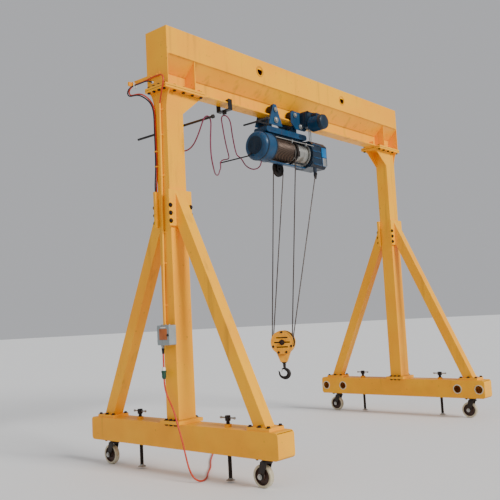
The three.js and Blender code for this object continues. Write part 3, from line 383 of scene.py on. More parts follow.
class Strands(Effect):
    """Laid wire rope and ribbed sheathing: slanting lays with dark grease between them."""

    name = "strands"
    inputs = (("Colour", "Color"), ("Grease", "Color"), ("Gloss", "Float"), ("Lays", "Float"))

    @classmethod
    def paint(cls, sheet: NodeSheet, entry: bpy.types.NodeOutputs) -> tuple[object, object, object]:
        """Diagonal waves with grease in the valleys.

        Args:
            sheet: the group's tree.
            entry: the group's inputs.

        Returns:
            The colour, roughness and height sockets.
        """
        where = sheet.add("TexCoord").outputs["Object"]
        wave = sheet.add(
            "TexWave",
            {"Vector": where, "Scale": entry["Lays"], "Distortion": 0.6, "Detail": 1.0},
            bands_direction="DIAGONAL",
        ).outputs[1]
        patches = sheet.band(sheet.noise(where, 5.0, 5.0), 0.35, 0.7)
        valley = sheet.band(wave, 0.15, 0.6, 1.0, 0.0)
        greased = sheet.maths("MULTIPLY", valley, 0.8)
        soil = sheet.maths("MAXIMUM", greased, sheet.maths("MULTIPLY", patches, 0.5))
        colour = sheet.blend(soil, entry["Colour"], entry["Grease"])
        return colour, sheet.maths("ADD", entry["Gloss"], sheet.maths("MULTIPLY", soil, 0.2)), wave


@dataclass(frozen=True)
class Finish:
    """A finish: one shader built from an effect.

    The relief is the bump's depth in metres.
    """

    name: str
    effect: type[Effect]
    values: tuple[tuple[str, object], ...]
    metallic: float = 0.0
    coat: float = 0.0
    relief: float = 0.0004
    specular: float = 0.5

    def material(self) -> bpy.types.Material:
        """Finds the material, or builds it the first time.

        Returns:
            The material.
        """
        found = bpy.data.materials.get(self.name)
        if found:
            return found
        material = bpy.data.materials.new(self.name)
        material.use_nodes = True
        material.node_tree.nodes.clear()
        sheet = NodeSheet(material.node_tree)
        group = sheet.add("Group", node_tree=self.effect.group())
        for name, value in self.values:
            group.inputs[name].default_value = linear(value) if isinstance(value, str) else value
        relief = {"Strength": 0.6, "Distance": self.relief, "Height": group.outputs["Height"]}
        bump = sheet.add("Bump", relief)
        shader = sheet.add(
            "BsdfPrincipled",
            {
                "Base Color": group.outputs["Colour"],
                "Roughness": group.outputs["Roughness"],
                "Normal": bump.outputs[0],
                "Metallic": self.metallic,
                "Coat Weight": self.coat,
                "Specular IOR Level": self.specular,
            },
        )
        output = sheet.add("OutputMaterial")
        sheet.feed(output.inputs["Surface"], shader.outputs[0])
        return material


def enamel(name: str, colour: str, shade: str, gloss: float, grime: float, scale: float = 1.0) -> Finish:
    """A sprayed paint.

    Args:
        name: the finish's name.
        colour: its main colour.
        shade: the tone that its clouds turn to.
        gloss: its roughness where clean.
        grime: how much dirt it carries.
        scale: the size of its clouds, larger for finer ones.

    Returns:
        The finish.
    """
    values = (
        ("Colour", colour),
        ("Shade", shade),
        ("Dirt", "5a4632"),
        ("Gloss", gloss),
        ("Grime", grime),
        ("Scale", scale),
    )
    return Finish(name, Weathering, values, coat=0.04, specular=0.3)


def steel(name: str, colour: str, stain: str, gloss: float, wear: float, metallic: float = 1.0) -> Finish:
    """A bare or oiled steel."""
    values = (("Colour", colour), ("Stain", stain), ("Gloss", gloss), ("Wear", wear))
    return Finish(name, Machining, values, metallic=metallic, relief=0.0003)


YELLOW = enamel("yellow_enamel", "ffb300", "fba600", 0.42, 0.3)
BLUE = enamel("hoist_blue_enamel", "1a4566", "123552", 0.34, 0.35, 4.0)
DEEP_BLUE = enamel("motor_blue_enamel", "14283a", "0e1f2e", 0.36, 0.3, 4.0)
BRIGHT_BLUE = enamel("cover_blue_enamel", "1c6ea6", "155a8c", 0.25, 0.15, 4.0)
BLOCK_ORANGE = enamel("block_orange_enamel", "eba42a", "de9420", 0.4, 0.4, 6.0)
BOX_GREY = enamel("box_grey_powder", "8f9696", "858c8c", 0.5, 0.2, 5.0)
LABEL = enamel("box_label", "b4622c", "a05526", 0.45, 0.1, 9.0)
BLACK_PAINT = enamel("black_paint", "1d1a1b", "151314", 0.42, 0.3, 5.0)
CREAM_TYRE = Finish(
    "castor_polyurethane",
    Weathering,
    (
        ("Colour", "d8cfb4"),
        ("Shade", "c9bd9c"),
        ("Dirt", "4a4238"),
        ("Gloss", 0.45),
        ("Grime", 0.55),
        ("Scale", 9.0),
    ),
)
HUB = enamel("castor_hub", "3a2320", "2c1a18", 0.4, 0.4, 9.0)
PLUG_GREEN = enamel("plug_green_plastic", "1f4a3c", "193f33", 0.5, 0.15, 9.0)
WHITE_PLASTIC = enamel("white_plastic", "dcdcd4", "cfcfc6", 0.45, 0.2, 9.0)
RED_SHEATH = enamel("supply_red_sheath", "cf3a1c", "bd3216", 0.45, 0.25, 6.0)
MAUVE_SHEATH = enamel("festoon_mauve_sheath", "7d2f48", "6c273d", 0.5, 0.2, 6.0)
DARK_SHEATH = enamel("dark_sheath", "2a2024", "201a1d", 0.5, 0.2, 6.0)
SILVER_SHEATH = enamel("silver_sheath", "b9bcbc", "a2a5a5", 0.35, 0.3, 6.0)
BOLT_STEEL = steel("bolt_dark_steel", "3a2a26", "1f1512", 0.45, 0.7, 0.7)
PLAIN_STEEL = steel("plain_steel", "a9a8a2", "6d675c", 0.36, 0.6)
BRIGHT_STEEL = steel("bright_steel", "cfcfca", "8f8d86", 0.22, 0.4)
HOOK_STEEL = steel("forged_black_steel", "26211f", "3a2c24", 0.5, 0.5, 0.6)
WELD_BEAD = enamel("painted_weld", "e39a10", "c9860c", 0.42, 0.3)
WOUND_ROPE = Finish(
    "wound_greased_rope",
    Strands,
    (("Colour", "5d4a3c"), ("Grease", "1e1613"), ("Gloss", 0.42), ("Lays", 34.0)),
    metallic=0.5,
)
FALL_ROPE = Finish(
    "wire_rope",
    Strands,
    (("Colour", "5e544e"), ("Grease", "231c19"), ("Gloss", 0.4), ("Lays", 30.0)),
    metallic=0.7,
    relief=0.001,
)

SLOT_FINISHES = {
    "yellow_paint": YELLOW,
    "hoist_blue": BLUE,
    "dark_steel": BLACK_PAINT,
    "bright_steel": BRIGHT_STEEL,
    "block_orange": BLOCK_ORANGE,
    "box_grey": BOX_GREY,
    "castor_tyre": CREAM_TYRE,
    "supply_red": RED_SHEATH,
    "festoon_mauve": MAUVE_SHEATH,
    "plug_green": PLUG_GREEN,
}


class Form:
    """A mesh in the making. Faces take the number of the finish in use."""

    def __init__(self, place: Matrix | None = None) -> None:
        """Starts an empty mesh.

        Args:
            place: where the finished mesh is moved to.
        """
        self.bm = bmesh.new()
        self.place = place or Matrix.Identity(4)
        self.coat = 0

    def ring(self, points: Iterable[Vector]) -> list[bmesh.types.BMVert]:
        """Adds vertices."""
        return [self.bm.verts.new(p) for p in points]

    def face(self, vertices: Sequence[bmesh.types.BMVert]) -> None:
        """Adds a face in the finish in use.

        Args:
            vertices: its corners in order.
        """
        made = self.bm.faces.new(vertices)
        made.material_index = self.coat
        made.smooth = True

    def loft(self, rings: Sequence[Sequence[bmesh.types.BMVert]], caps: bool = True) -> None:
        """Skins rings of equal size.

        Args:
            rings: the rings in order.
            caps: whether the two ends are closed.
        """
        for a, b in zip(rings, rings[1:]):
            for i in range(len(a)):
                j = (i + 1) % len(a)
                self.face((a[i], a[j], b[j], b[i]))
        if caps:
            self.face(list(reversed(rings[0])))
            self.face(list(rings[-1]))

    def tube(self, route: Sequence[Vector], radius: float | Sequence[float], sides: int = 12) -> None:
        """Sweeps a round section along a route.

        Args:
            route: the centres of its rings.
            radius: one radius, or one for each ring.
            sides: the section's corners.
        """
        radii = [radius] * len(route) if isinstance(radius, (int, float)) else list(radius)
        tangent = (route[1] - route[0]).normalized()
        across = tangent.orthogonal().normalized()
        rings = []
        for i, centre in enumerate(route):
            ahead = (route[min(i + 1, len(route) - 1)] - route[max(i - 1, 0)]).normalized()
            across = (across - ahead * across.dot(ahead)).normalized()
            up = ahead.cross(across)
            rings.append(self.ring(circle(centre, across, up, radii[i], sides)))
        self.loft(rings)

    def lathe(self, profile: Sequence[Point], centre: Point, axis: Axis, segments: int = 48) -> None:
        """Turns a closed profile round an axis.

        Args:
            profile: (radius, distance along the axis) corners, closed on itself unless it ends on the axis.
            centre: a point on the axis.
            axis: the axis.
            segments: the number of flats.
        """
        along = Vector(axis.value)
        across = along.orthogonal().normalized()
        up = along.cross(across)
        rings = []
        for radius, distance in profile:
            size = max(radius, 1e-5)
            middle = Vector(centre) + along * distance
            rings.append(self.ring(circle(middle, across, up, size, segments)))
        solid = profile[0][0] < 1e-6
        self.loft(rings if solid else [*rings, rings[0]], caps=solid)

    def plate(self, outline: Sequence[Vector], depth: Vector) -> None:
        """Extrudes an outline."""
        self.loft([self.ring(outline), self.ring(p + depth for p in outline)])

    def block(self, low: Point, high: Point, bevel: float = 0.0) -> None:
        """A box with broken edges.

        Args:
            low: its lowest corner.
            high: its highest corner.
            bevel: how far its edges are broken.
        """
        before = set(self.bm.faces)
        x0, y0, z0 = low
        x1, y1, z1 = high
        corners = [Vector((x0, y0, z0)), Vector((x1, y0, z0)), Vector((x1, y1, z0)), Vector((x0, y1, z0))]
        self.plate(corners, Vector((0, 0, z1 - z0)))
        if bevel:
            edges = {e for f in set(self.bm.faces) - before for e in f.edges}
            bmesh.ops.bevel(
                self.bm, geom=list(edges), offset=bevel, segments=2, affect="EDGES", profile=0.5
            )

    def bolt(self, seat: Point, out: Point, across: float = 0.032, tall: float = 0.014) -> None:
        """A hexagon head on a washer, with a chamfered crown.

        Args:
            seat: where it bears.
            out: the way it faces.
            across: its size over the corners.
            tall: the head's height.
        """
        way = Vector(out).normalized()
        side = way.orthogonal().normalized()
        up = way.cross(side)

        def corners(radius: float, lift: float, count: int) -> list[bmesh.types.BMVert]:
            """A ring of corners above the seat."""
            return self.ring(circle(Vector(seat) + way * lift, side, up, radius, count))

        washer = 0.003
        self.loft([corners(across * 0.72, lift, 16) for lift in (0.0, washer)])
        heights = ((0.5, washer), (0.5, tall), (0.42, tall + 0.002))
        self.loft([corners(across * share, lift, 6) for share, lift in heights])

    def finish(
        self,
        name: str,
        finishes: Sequence[Finish],
        body: str | None,
        slot: str,
        replaces: Sequence[str] = (),
    ) -> bpy.types.Object:
        """body: the body that it rides on, or None for a piece that rides on no body.
            slot: the record's material slot.
            replaces: the nodes that it stands for.

        Returns:
            The piece.
        """
        bmesh.ops.remove_doubles(self.bm, verts=self.bm.verts, dist=1e-5)
        bmesh.ops.recalc_face_normals(self.bm, faces=self.bm.faces)
        self.bm.transform(self.place)
        mesh = bpy.data.meshes.new(name)
        self.bm.to_mesh(mesh)
        self.bm.free()
        mesh.set_sharp_from_angle(angle=math.radians(32))
        for one in finishes:
            mesh.materials.append(one.material())
        piece = bpy.data.objects.new(name, mesh)
        bpy.context.scene.collection.objects.link(piece)
        if body:
            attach(piece, body)
        if replaces:
            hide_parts(*replaces)
        LOG.info("piece %s on %s", name, body or "two bodies")
        return piece


@dataclass
class Studio:
    """The camera, the lights and the pale floor."""

    stand: Point = (-6.7264, -4.9294, 1.4554)
    yaw: float = 48.81
    pitch: float = 5.44
    roll: float = 2.905
    lens: float = 50.2
    shift: float = 0.014

    def camera(self) -> None:
        """Places the camera at the eye's height, level with the near leg."""
        yaw, pitch, roll = (math.radians(a) for a in (self.yaw, self.pitch, self.roll))
        level = Vector((math.sin(yaw), math.cos(yaw), 0.0))
        forward = level * math.cos(pitch) + Vector((0.0, 0.0, math.sin(pitch)))
        right = Vector((math.cos(yaw), -math.sin(yaw), 0.0))
        down = -right.cross(forward)
        leant = right * math.cos(roll) + down * math.sin(roll)
        sunk = down * math.cos(roll) - right * math.sin(roll)
        data = bpy.data.cameras.new("camera")
        data.lens = self.lens
        data.shift_x = self.shift
        data.clip_end = 200
        eye = bpy.data.objects.new("camera", data)
        matrix = Matrix((leant, -sunk, -forward)).transposed().to_4x4()
        matrix.translation = Vector(self.stand)
        eye.matrix_world = matrix
        bpy.context.scene.collection.objects.link(eye)
        bpy.context.scene.camera = eye

    def lights(self) -> None:
        """A broad key from the front, a weak fill and a pale surround."""
        for name, way, strength, spread in (
            ("key", (0.02, 0.94, -0.52), 3.2, 20.0),
            ("fill", (0.9, 0.1, -0.35), 0.3, 60.0),
        ):
            data = bpy.data.lights.new(name, "SUN")
            data.energy = strength
            data.angle = math.radians(spread)
            lamp = bpy.data.objects.new(name, data)
            lamp.rotation_euler = Vector(way).to_track_quat("-Z", "Y").to_euler()
            bpy.context.scene.collection.objects.link(lamp)
        world = bpy.data.worlds.new("studio")
        world.use_nodes = True
        world.node_tree.nodes["Background"].inputs[0].default_value = (0.95, 0.96, 1.0, 1.0)
        world.node_tree.nodes["Background"].inputs[1].default_value = 0.5
        bpy.context.scene.world = world

    def floor(self) -> None:
        """A wide pale floor."""
        form = Form()
        reach, across, up = 90.0, Vector((1, 0, 0)), Vector((0, 1, 0))
        form.face(form.ring(circle(Vector(), across, up, reach, 48)))
        mesh = bpy.data.meshes.new("floor")
        form.bm.to_mesh(mesh)
        form.bm.free()
        material = bpy.data.materials.new("floor")
        material.use_nodes = True
        shader = material.node_tree.nodes["Principled BSDF"]
        shader.inputs["Base Color"].default_value = (0.86, 0.86, 0.85, 1)
        shader.inputs["Roughness"].default_value = 0.8
        mesh.materials.append(material)
        floor = bpy.data.objects.new("floor", mesh)
        bpy.context.scene.collection.objects.link(floor)


@dataclass
class SupplyCord:
    """The crane's supply cord with its inline connector, coil and plug."""

    radius: float = 0.0079
    outlet: Point = (-2268.3, 35, 1194.7)
    coil_centre: Point = (-0.6, 1.0)
    coil_radii: tuple[float, float, float] = (0.131, 0.114, 0.0975)
    turns: int = 9
    length: float = 10.0

    def route(self) -> list[Vector]:
        """Down from the gland, over the floor and into the coil, to the plug.

        Returns:
            The cord's centre line.
        """
        x, y, z = self.outlet
        points = [(x, y, h) for h in (z, 1100, 1020, 910, 860)]
        points += [(x, 5, 760), (x - 4, -75, 640), (x - 8, -140, 480), (x - 20, -200, 350)]
        points += [(x - 30, -245, 240), (x - 34, -285, 130), (x - 26, -325, 55), (x + 6, -356, 16)]
        points += [(x + 70, -356, 9), (x + 170, -300, 9)]
        points += [(-1960, -180, 9), (-1760, -20, 9), (-1520, 210, 9), (-1260, 430, 9), (-1020, 640, 9)]
        points += [(-890, 760, 9), (-770, 835, 9), (-668, 862, 9)]
        reach = mm(points)
        line = relaxed(smooth_route([*reach, *self.coil()[:3]], 150), 4)[:-6]
        return [*line, *self.coil()]

    def coil(self) -> list[Vector]:
        """Three layers of three turns, then the tail to the plug.

        Returns:
            The coil's centre line.
        """
        order = [0, 1, 2, 2, 1, 0, 0, 1, 2]
        per_turn = 28
        line = []
        for i in range(self.turns * per_turn + 1):
            turn, share = divmod(i / per_turn, 1.0)
            k = min(int(turn), self.turns - 1)
            after = min(k + 1, self.turns - 1)
            slide = max(0.0, (share - 0.75) / 0.25)
            slide = slide * slide * (3 - 2 * slide)
            radius = self.coil_radii[order[k]] * (1 - slide) + self.coil_radii[order[after]] * slide
            lift = 0.009 + 0.0162 * ((k // 3) * (1 - slide) + (after // 3) * slide)
            angle = math.radians(270) + 2 * math.pi * i / per_turn
            x, y = self.coil_centre
            line.append(Vector((x + radius * math.cos(angle), y + radius * math.sin(angle), lift)))
        tail = mm([(-560, 900, 50), (-515, 893, 55), (-476, 892, 53), (-444, 901, 48), (-422, 923, 40)])
        tail += mm([(-414.5, 944, 33), (-414, 955, 32)])
        return [*line, *relaxed(smooth_route([line[-1], *tail], 24), 3)[1:]]

    def build(self) -> None:
        """The cord, its connector, plug and strain relief."""
        line = self.route()
        form = Form()
        form.tube(line, self.radius, 10)
        stands_for = ["supply_cord", "supply_cord_coil"]
        cord = form.finish("supply_cable", [RED_SHEATH], "frame", "supply_red", stands_for)
        x, y, z = (v / 1000 for v in self.outlet)
        connector = Form()
        profile = [(0.0083, -0.055), (0.0140, -0.055), (0.0165, -0.048), (0.0205, -0.036), (0.0205, 0.003)]
        profile += [(0.0250, 0.006), (0.0250, 0.018), (0.0200, 0.022)]
        connector.lathe([*profile, (0.0083, 0.022)], (x, y, 0.965), Axis.Z, 32)
        connector.coat = 1
        connector.lathe(
            [(0.0083, 0.0225), (0.0185, 0.0225), (0.0175, 0.045), (0.0120, 0.055), (0.0083, 0.055)],
            (x, y, 0.965),
            Axis.Z,
            32,
        )
        joint = connector.finish(
            "cord_joint", [PLUG_GREEN, WHITE_PLASTIC], "frame", "plug_green", ["cord_connector"]
        )
        plug = Form()
        centre = (-0.414, 1.02, 0.032)
        grip = [(0.0, -0.065), (0.011, -0.065), (0.014, -0.055), (0.020, -0.040), (0.027, -0.010)]
        grip += [(0.031, -0.004), (0.0318, 0.004), (0.0318, 0.045), (0.029, 0.048), (0.0, 0.048)]
        plug.lathe(grip, centre, Axis.Y, 36)
        plug.coat = 1
        for k in range(4):
            turn = math.pi * (0.25 + k / 2)
            pin = (centre[0] + 0.014 * math.cos(turn), centre[1], centre[2] + 0.014 * math.sin(turn))
            plug.lathe([(0.0, 0.047), (0.0035, 0.047), (0.0035, 0.062), (0.0, 0.064)], pin, Axis.Y, 12)
        finishes = [PLUG_GREEN, BRIGHT_STEEL]
        tip = plug.finish("supply_plug_body", finishes, "frame", "plug_green", ["supply_plug"])
        relief = Form()
        taper = [(0.0084, -0.055), (0.0100, -0.055), (0.0150, -0.004), (0.0084, -0.004)]
        relief.lathe(taper, (x, y, z + 0.004), Axis.Z, 24)
        relief.finish("supply_strain_relief", [BLACK_PAINT], "frame", "dark_steel")
        LOG.info("supply cord %.2f m", route_length(line))


@dataclass
class Leads:
    """The festoon cable and the short leads on girder and hoist."""

    arm_x: float = -1970.7
    arm_z: float = 3372
    tow_x: float = -850
    tow_z: float = 3268
    carrier_x: float = -1282
    carrier_z: float = 3662

    def festoon_route(self) -> list[Vector]:
        """From the column over the arm, along the tow arm, up to the carrier and down to the hoist.

        Returns:
            The cable's centre line.
        """
        a, h, t, w = self.arm_x, self.arm_z, self.tow_x, self.tow_z
        c, k = self.carrier_x, self.carrier_z
        points = [(-1981.7, -30, 3118), (-1981.7, -110, 3108), (a - 10, -190, 3138), (a - 18, -270, 3215)]
        points += [(a - 32, -345, 3310), (a - 38, -392, h + 2), (a, -400, h + 34), (a + 38, -405, h + 2)]
        points += [(a + 38, -406, 3320), (a + 30, -400, 3200), (a + 32, -392, 3080), (a + 52, -380, 2980)]
        points += [(a + 115, -338, 2918), (-1730, -235, 2898), (-1500, -45, 2932), (-1250, 160, 3008)]
        points += [(-1050, 325, 3105), (-930, 418, 3172), (t - 42, 456, 3226), (t - 28, 470, 3262)]
        points += [(t - 2, 462, w + 12), (t + 10, 420, w + 8), (t - 4, 370, w), (t - 42, 318, w + 2)]
        points += [(-950, 270, 3285)]
        points += [(-1050, 205, 3350), (-1150, 140, 3440), (-1235, 84, 3545)]
        points += [(c - 8, 44, k - 48), (c - 20, 4, k - 39), (c, -30, k - 48), (-1225, -24, 3560)]
        points += [(-1150, 26, 3465), (-1040, 100, 3360), (-940, 165, 3292), (t - 20, 204, w)]
        points += [(t + 12, 207, w + 3), (t + 44, 200, 3246)]
        points += [(-775, 178, 3170), (-716, 118, 3118), (-692, 52, 3128), (-700, 6, 3160), (-700, 0, 3199)]
        return relaxed(smooth_route(mm(points), 220), 5)

    def festoon(self) -> None:
        """The cable that feeds the trolley, run from the frame to the trolley."""
        line = self.festoon_route()
        form = Form()
        form.tube(line, 0.007, 10)
        cable = form.finish("festoon_feed", [MAUVE_SHEATH], None, "festoon_mauve", ["festoon_cable"])
        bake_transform(cable)
        self.declare(cable, line)

    def declare(self, piece: bpy.types.Object, line: Sequence[Vector]) -> None:
        """Logs a cable's name and length."""
        LOG.info("%s %.2f m", piece.name, route_length(line))

    def lead(
        self, name: str, points: Sequence[Point], radius: float, body: str, finish: Finish, slot: str
    ) -> None:
        """One short cable.

        Args:
            name: its piece's name.
            points: its route in millimetres.
            radius: its radius in metres.
            body: the body that it rides on.
            finish: its sheath.
            slot: the record's material slot.
        """
        line = relaxed(smooth_route(mm(points), 90), 8)
        form = Form()
        form.tube(line, radius, 10)
        self.declare(form.finish(name, [finish], body, slot), line)

    def build(self) -> None:
        """Every cable but the supply cord."""
        self.festoon()
        up = [(-2227, -10, 3562), (-2229, -22, 3590), (-2250, -62, 3640), (-2284, -118, 3690)]
        up += [(-2292, -150, 3740), (-2286, -148, 3790), (-2270, -110, 3822), (-2262, -40, 3832)]
        loop = [(-2264, 60, 3826), (-2268, 200, 3815), (-2268, 325, 3818), (-2264, 392, 3806)]
        loop += [(-2262, 420, 3766), (-2266, 388, 3727), (-2280, 300, 3712)]
        down = [(-2286, 190, 3700), (-2262, 130, 3650), (-2228, 96, 3600), (-2220, 78, 3530)]
        down += [(-2219, 72, 3300), (-2219, 73, 2900), (-2221, 86, 2780), (-2222, 89.5, 2690)]
        up += [*loop, *down]
        self.lead("girder_lead", up, 0.007, "frame", RED_SHEATH, "supply_red")
        twin = [(-2236, 70, 3790), (-2262, 90, 3812), *((x - 2, y + 15, z - 4) for x, y, z in loop[1:])]
        twin += [(-2290, 200, 3682), (-2260, 150, 3640), (-2235, 112, 3596), (-2222, 92, 3520)]
        twin += [(-2220, 88, 3300), (-2224, 89, 2900), (-2238, 89.5, 2780), (-2238, 89.5, 2690)]
        self.lead("girder_lead_dark", twin, 0.007, "frame", DARK_SHEATH, "dark_steel")
        for k, (dx, dy) in enumerate(((0, 0), (22, -8), (42, 6))):
            flex = [(52 + dx, -150 + dy, 3667), (55 + dx, -149 + dy, 3635), (66 + dx, -142 + dy, 3600)]
            flex += [(82 + dx, -131 + dy, 3570), (96 + dx, -121 + dy, 3550), (104 + dx, -115 + dy, 3534)]
            self.lead(f"motor_lead_{k + 1}", flex, 0.007, "trolley", SILVER_SHEATH, "bright_steel")


@dataclass
class HoistRope:
    """One wire rope in four falls between the hoist and the hook block."""

    radius: float = 0.0065
    block: Point = (-485, 0, 1145)
    twist: float = 25.0
    pitch: float = 116
    sheave_offset: float = 30
    over: Point = (-268, 104, 3180)
    over_pitch: float = 92
    anchor: Point = (196, -104, 3127)
    drum_side: float = -130.5

    def under(self, x: float, from_side: int) -> list[Vector]:
        """The rope under one of the block's sheaves.

        Args:
            x: the sheave's place along its pin.
            from_side: the side on which the rope arrives.

        Returns:
            Points in metres.
        """
        turn = Matrix.Rotation(math.radians(self.twist), 3, "Z")
        start = turn @ Vector((0, from_side * self.pitch, 0))
        centre = Vector(self.block) + turn @ Vector((x, 0, 0))
        lead = Vector((0, 0, 60))
        bow = arc(centre, start, Vector((0, 0, -self.pitch)), 180, 20)
        return mm([bow[0] + lead, *bow, bow[-1] + lead])

    def route(self) -> list[Vector]:
        """The rope from its anchor to the drum.

        Returns:
            The rope's centre line, with even rings on its falls.
        """
        centre = Vector(self.over)
        hump = arc(centre, Vector((self.over_pitch, 0, 0)), Vector((0, 0, self.over_pitch)), 180, 18)
        lead = Vector((0, 0, -60))
        x, y, z = self.anchor
        legs = [
            mm([(x, y, z), (x - 12, y, z - 37)]),
            self.under(self.sheave_offset, -1),
            mm([hump[0] + lead, *hump, hump[-1] + lead]),
            self.under(-self.sheave_offset, 1),
            mm([(-232, self.drum_side, 3210), (-226, self.drum_side, 3370)]),
        ]
        line = list(legs[0])
        for leg in legs[1:]:
            line += [line[-1].lerp(leg[0], k / 24) for k in range(1, 24)]
            line += leg
        return line

    def build(self) -> None:
        """The rope, run from the trolley to the block, and its end fitting."""
        line = self.route()
        form = Form()
        form.tube(line, self.radius, 10)
        rope = form.finish("wire_rope_falls", [FALL_ROPE], None, "bright_steel", ["hoist_rope"])
        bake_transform(rope)
        x, y, z = (v / 1000 for v in self.anchor)
        fitting = Form()
        thimble = [(0.0, -0.05), (0.012, -0.05), (0.02, -0.01), (0.022, 0.01), (0.0, 0.01)]
        fitting.lathe(thimble, (x, y, z), Axis.Z, 20)
        fitting.bolt((x, y - 0.008, z + 0.012), (0, -1, 0), 0.03)
        fitting.finish("rope_anchor", [BLACK_PAINT], "trolley", "dark_steel")


@dataclass
class Portal:
    """The fasteners, rims and welds on the girder, columns, braces and base beams."""

    column_x: float = 2.1
    base_top: float = 0.49
    foot_offsets: tuple[float, ...] = (-0.06, 0.0, 0.06)
    collar_heights: tuple[float, ...] = (2.395, 2.47, 2.545)
    collar_face: float = 0.1111
    brace_rows: tuple[float, ...] = (0.93, 1.031, 1.132)
    hole_rows: tuple[float, ...] = (0.885, 1.175)

    def bolts(self, leg: str, side: int) -> None:
        """Foot, collar and brace bolts of one leg.

        Args:
            leg: the leg's name.
            side: which end of the girder it stands at.
        """
        x = side * self.column_x
        form = Form()
        for s in SIDES:
            for y in self.foot_offsets:
                form.bolt((x + s * 0.137, y, 0.5226), (0, 0, 1))
                form.bolt((x + s * 0.137, y, self.base_top - 0.0005), (0, 0, -1))
            for front in SIDES:
                for z in self.collar_heights:
                    form.bolt((x + s * 0.134, front * self.collar_face, z), (0, front, 0))
                for y in self.brace_rows:
                    form.bolt((x + s * 0.08, front * y, 0.5186), (0, 0, 1))
        form.finish(f"leg_bolts_{leg}", [BOLT_STEEL], "frame", "dark_steel")

    def rims(self, leg: str, side: int) -> None:
        """The rolled rims of one base beam's hand holes.

        Args:
            leg: the leg's name.
            side: which end of the girder it stands at.
        """
        x = side * (self.column_x - 0.1125)
        form = Form()
        for front in SIDES:
            for y in self.hole_rows:
                rim = mirrored([(0.0485, -0.004), (0.058, -0.004)], (0.060, 0.0))
                form.lathe(rim, (x, front * y, 0.375), Axis.X, 32)
        form.finish(f"hand_hole_rims_{leg}", [CREAM_TYRE], "frame", "yellow_paint")

    def welds(self, leg: str, side: int) -> None:
        """Fillet beads round the column foot, the collars and the brace feet.

        Args:
            leg: the leg's name.
            side: which end of the girder it stands at.
        """
        x = side * self.column_x
        form = Form()

        def bead(corners: Sequence[Point]) -> None:
            """A rippled bead along straight runs."""
            for a, b in zip(corners, corners[1:]):
                start, end = Vector(a), Vector(b)
                count = max(4, int((end - start).length / 0.02))
                route = [start.lerp(end, k / count) for k in range(count + 1)]
                form.tube(route, [0.0062 + 0.0012 * (k % 2) for k in range(count + 1)], 6)

        w, d, z = 0.112, 0.0835, 0.5235
        bead([(x - w, -d, z), (x + w, -d, z), (x + w, d, z), (x - w, d, z), (x - w, -d, z)])
        for front in SIDES:
            y0, y1 = front * 0.985, front * 1.094
            for s in SIDES:
                bead([(x + s * 0.0615, y0, 0.5195), (x + s * 0.0615, y1, 0.5195)])
            for s in SIDES:
                face = front * 0.0835
                bead([(x + s * 0.1115, face, 2.36), (x + s * 0.1115, face, 2.69)])
        head = 3.689
        for s in SIDES:
            bead([(x - side * 0.112, s * 0.0835, head), (x - side * 0.36, s * 0.0835, head)])
        form.finish(f"leg_welds_{leg}", [WELD_BEAD], "frame", "yellow_paint")

    def girder(self) -> None:
        """Lifting-eye doublers and the long seams of the girder."""
        form = Form()
        for s in SIDES:
            for face in SIDES:
                form.lathe(
                    [(0.044, -0.002), (0.062, -0.002), (0.062, 0.0015), (0.044, 0.0035)],
                    (s * 0.825, face * 0.152, 4.175),
                    Axis.Y,
                    36,
                )
        for face in SIDES:
            route = [Vector((x / 20, face * 0.1505, 4.0335)) for x in range(-44, 45)]
            form.tube(route, [0.0045 + 0.001 * (k % 2) for k in range(len(route))], 6)
            low = [Vector((x / 20, face * 0.0105, 3.896)) for x in range(-36, 37)]
            form.tube(low, [0.006 + 0.001 * (k % 2) for k in range(len(low))], 6)
        form.finish("girder_seams", [WELD_BEAD], "frame", "yellow_paint")

    def build(self) -> None:
        """Both legs, then the girder."""
        for leg, side in LEGS:
            self.bolts(leg, side)
            self.rims(leg, side)
            self.welds(leg, side)
        self.girder()


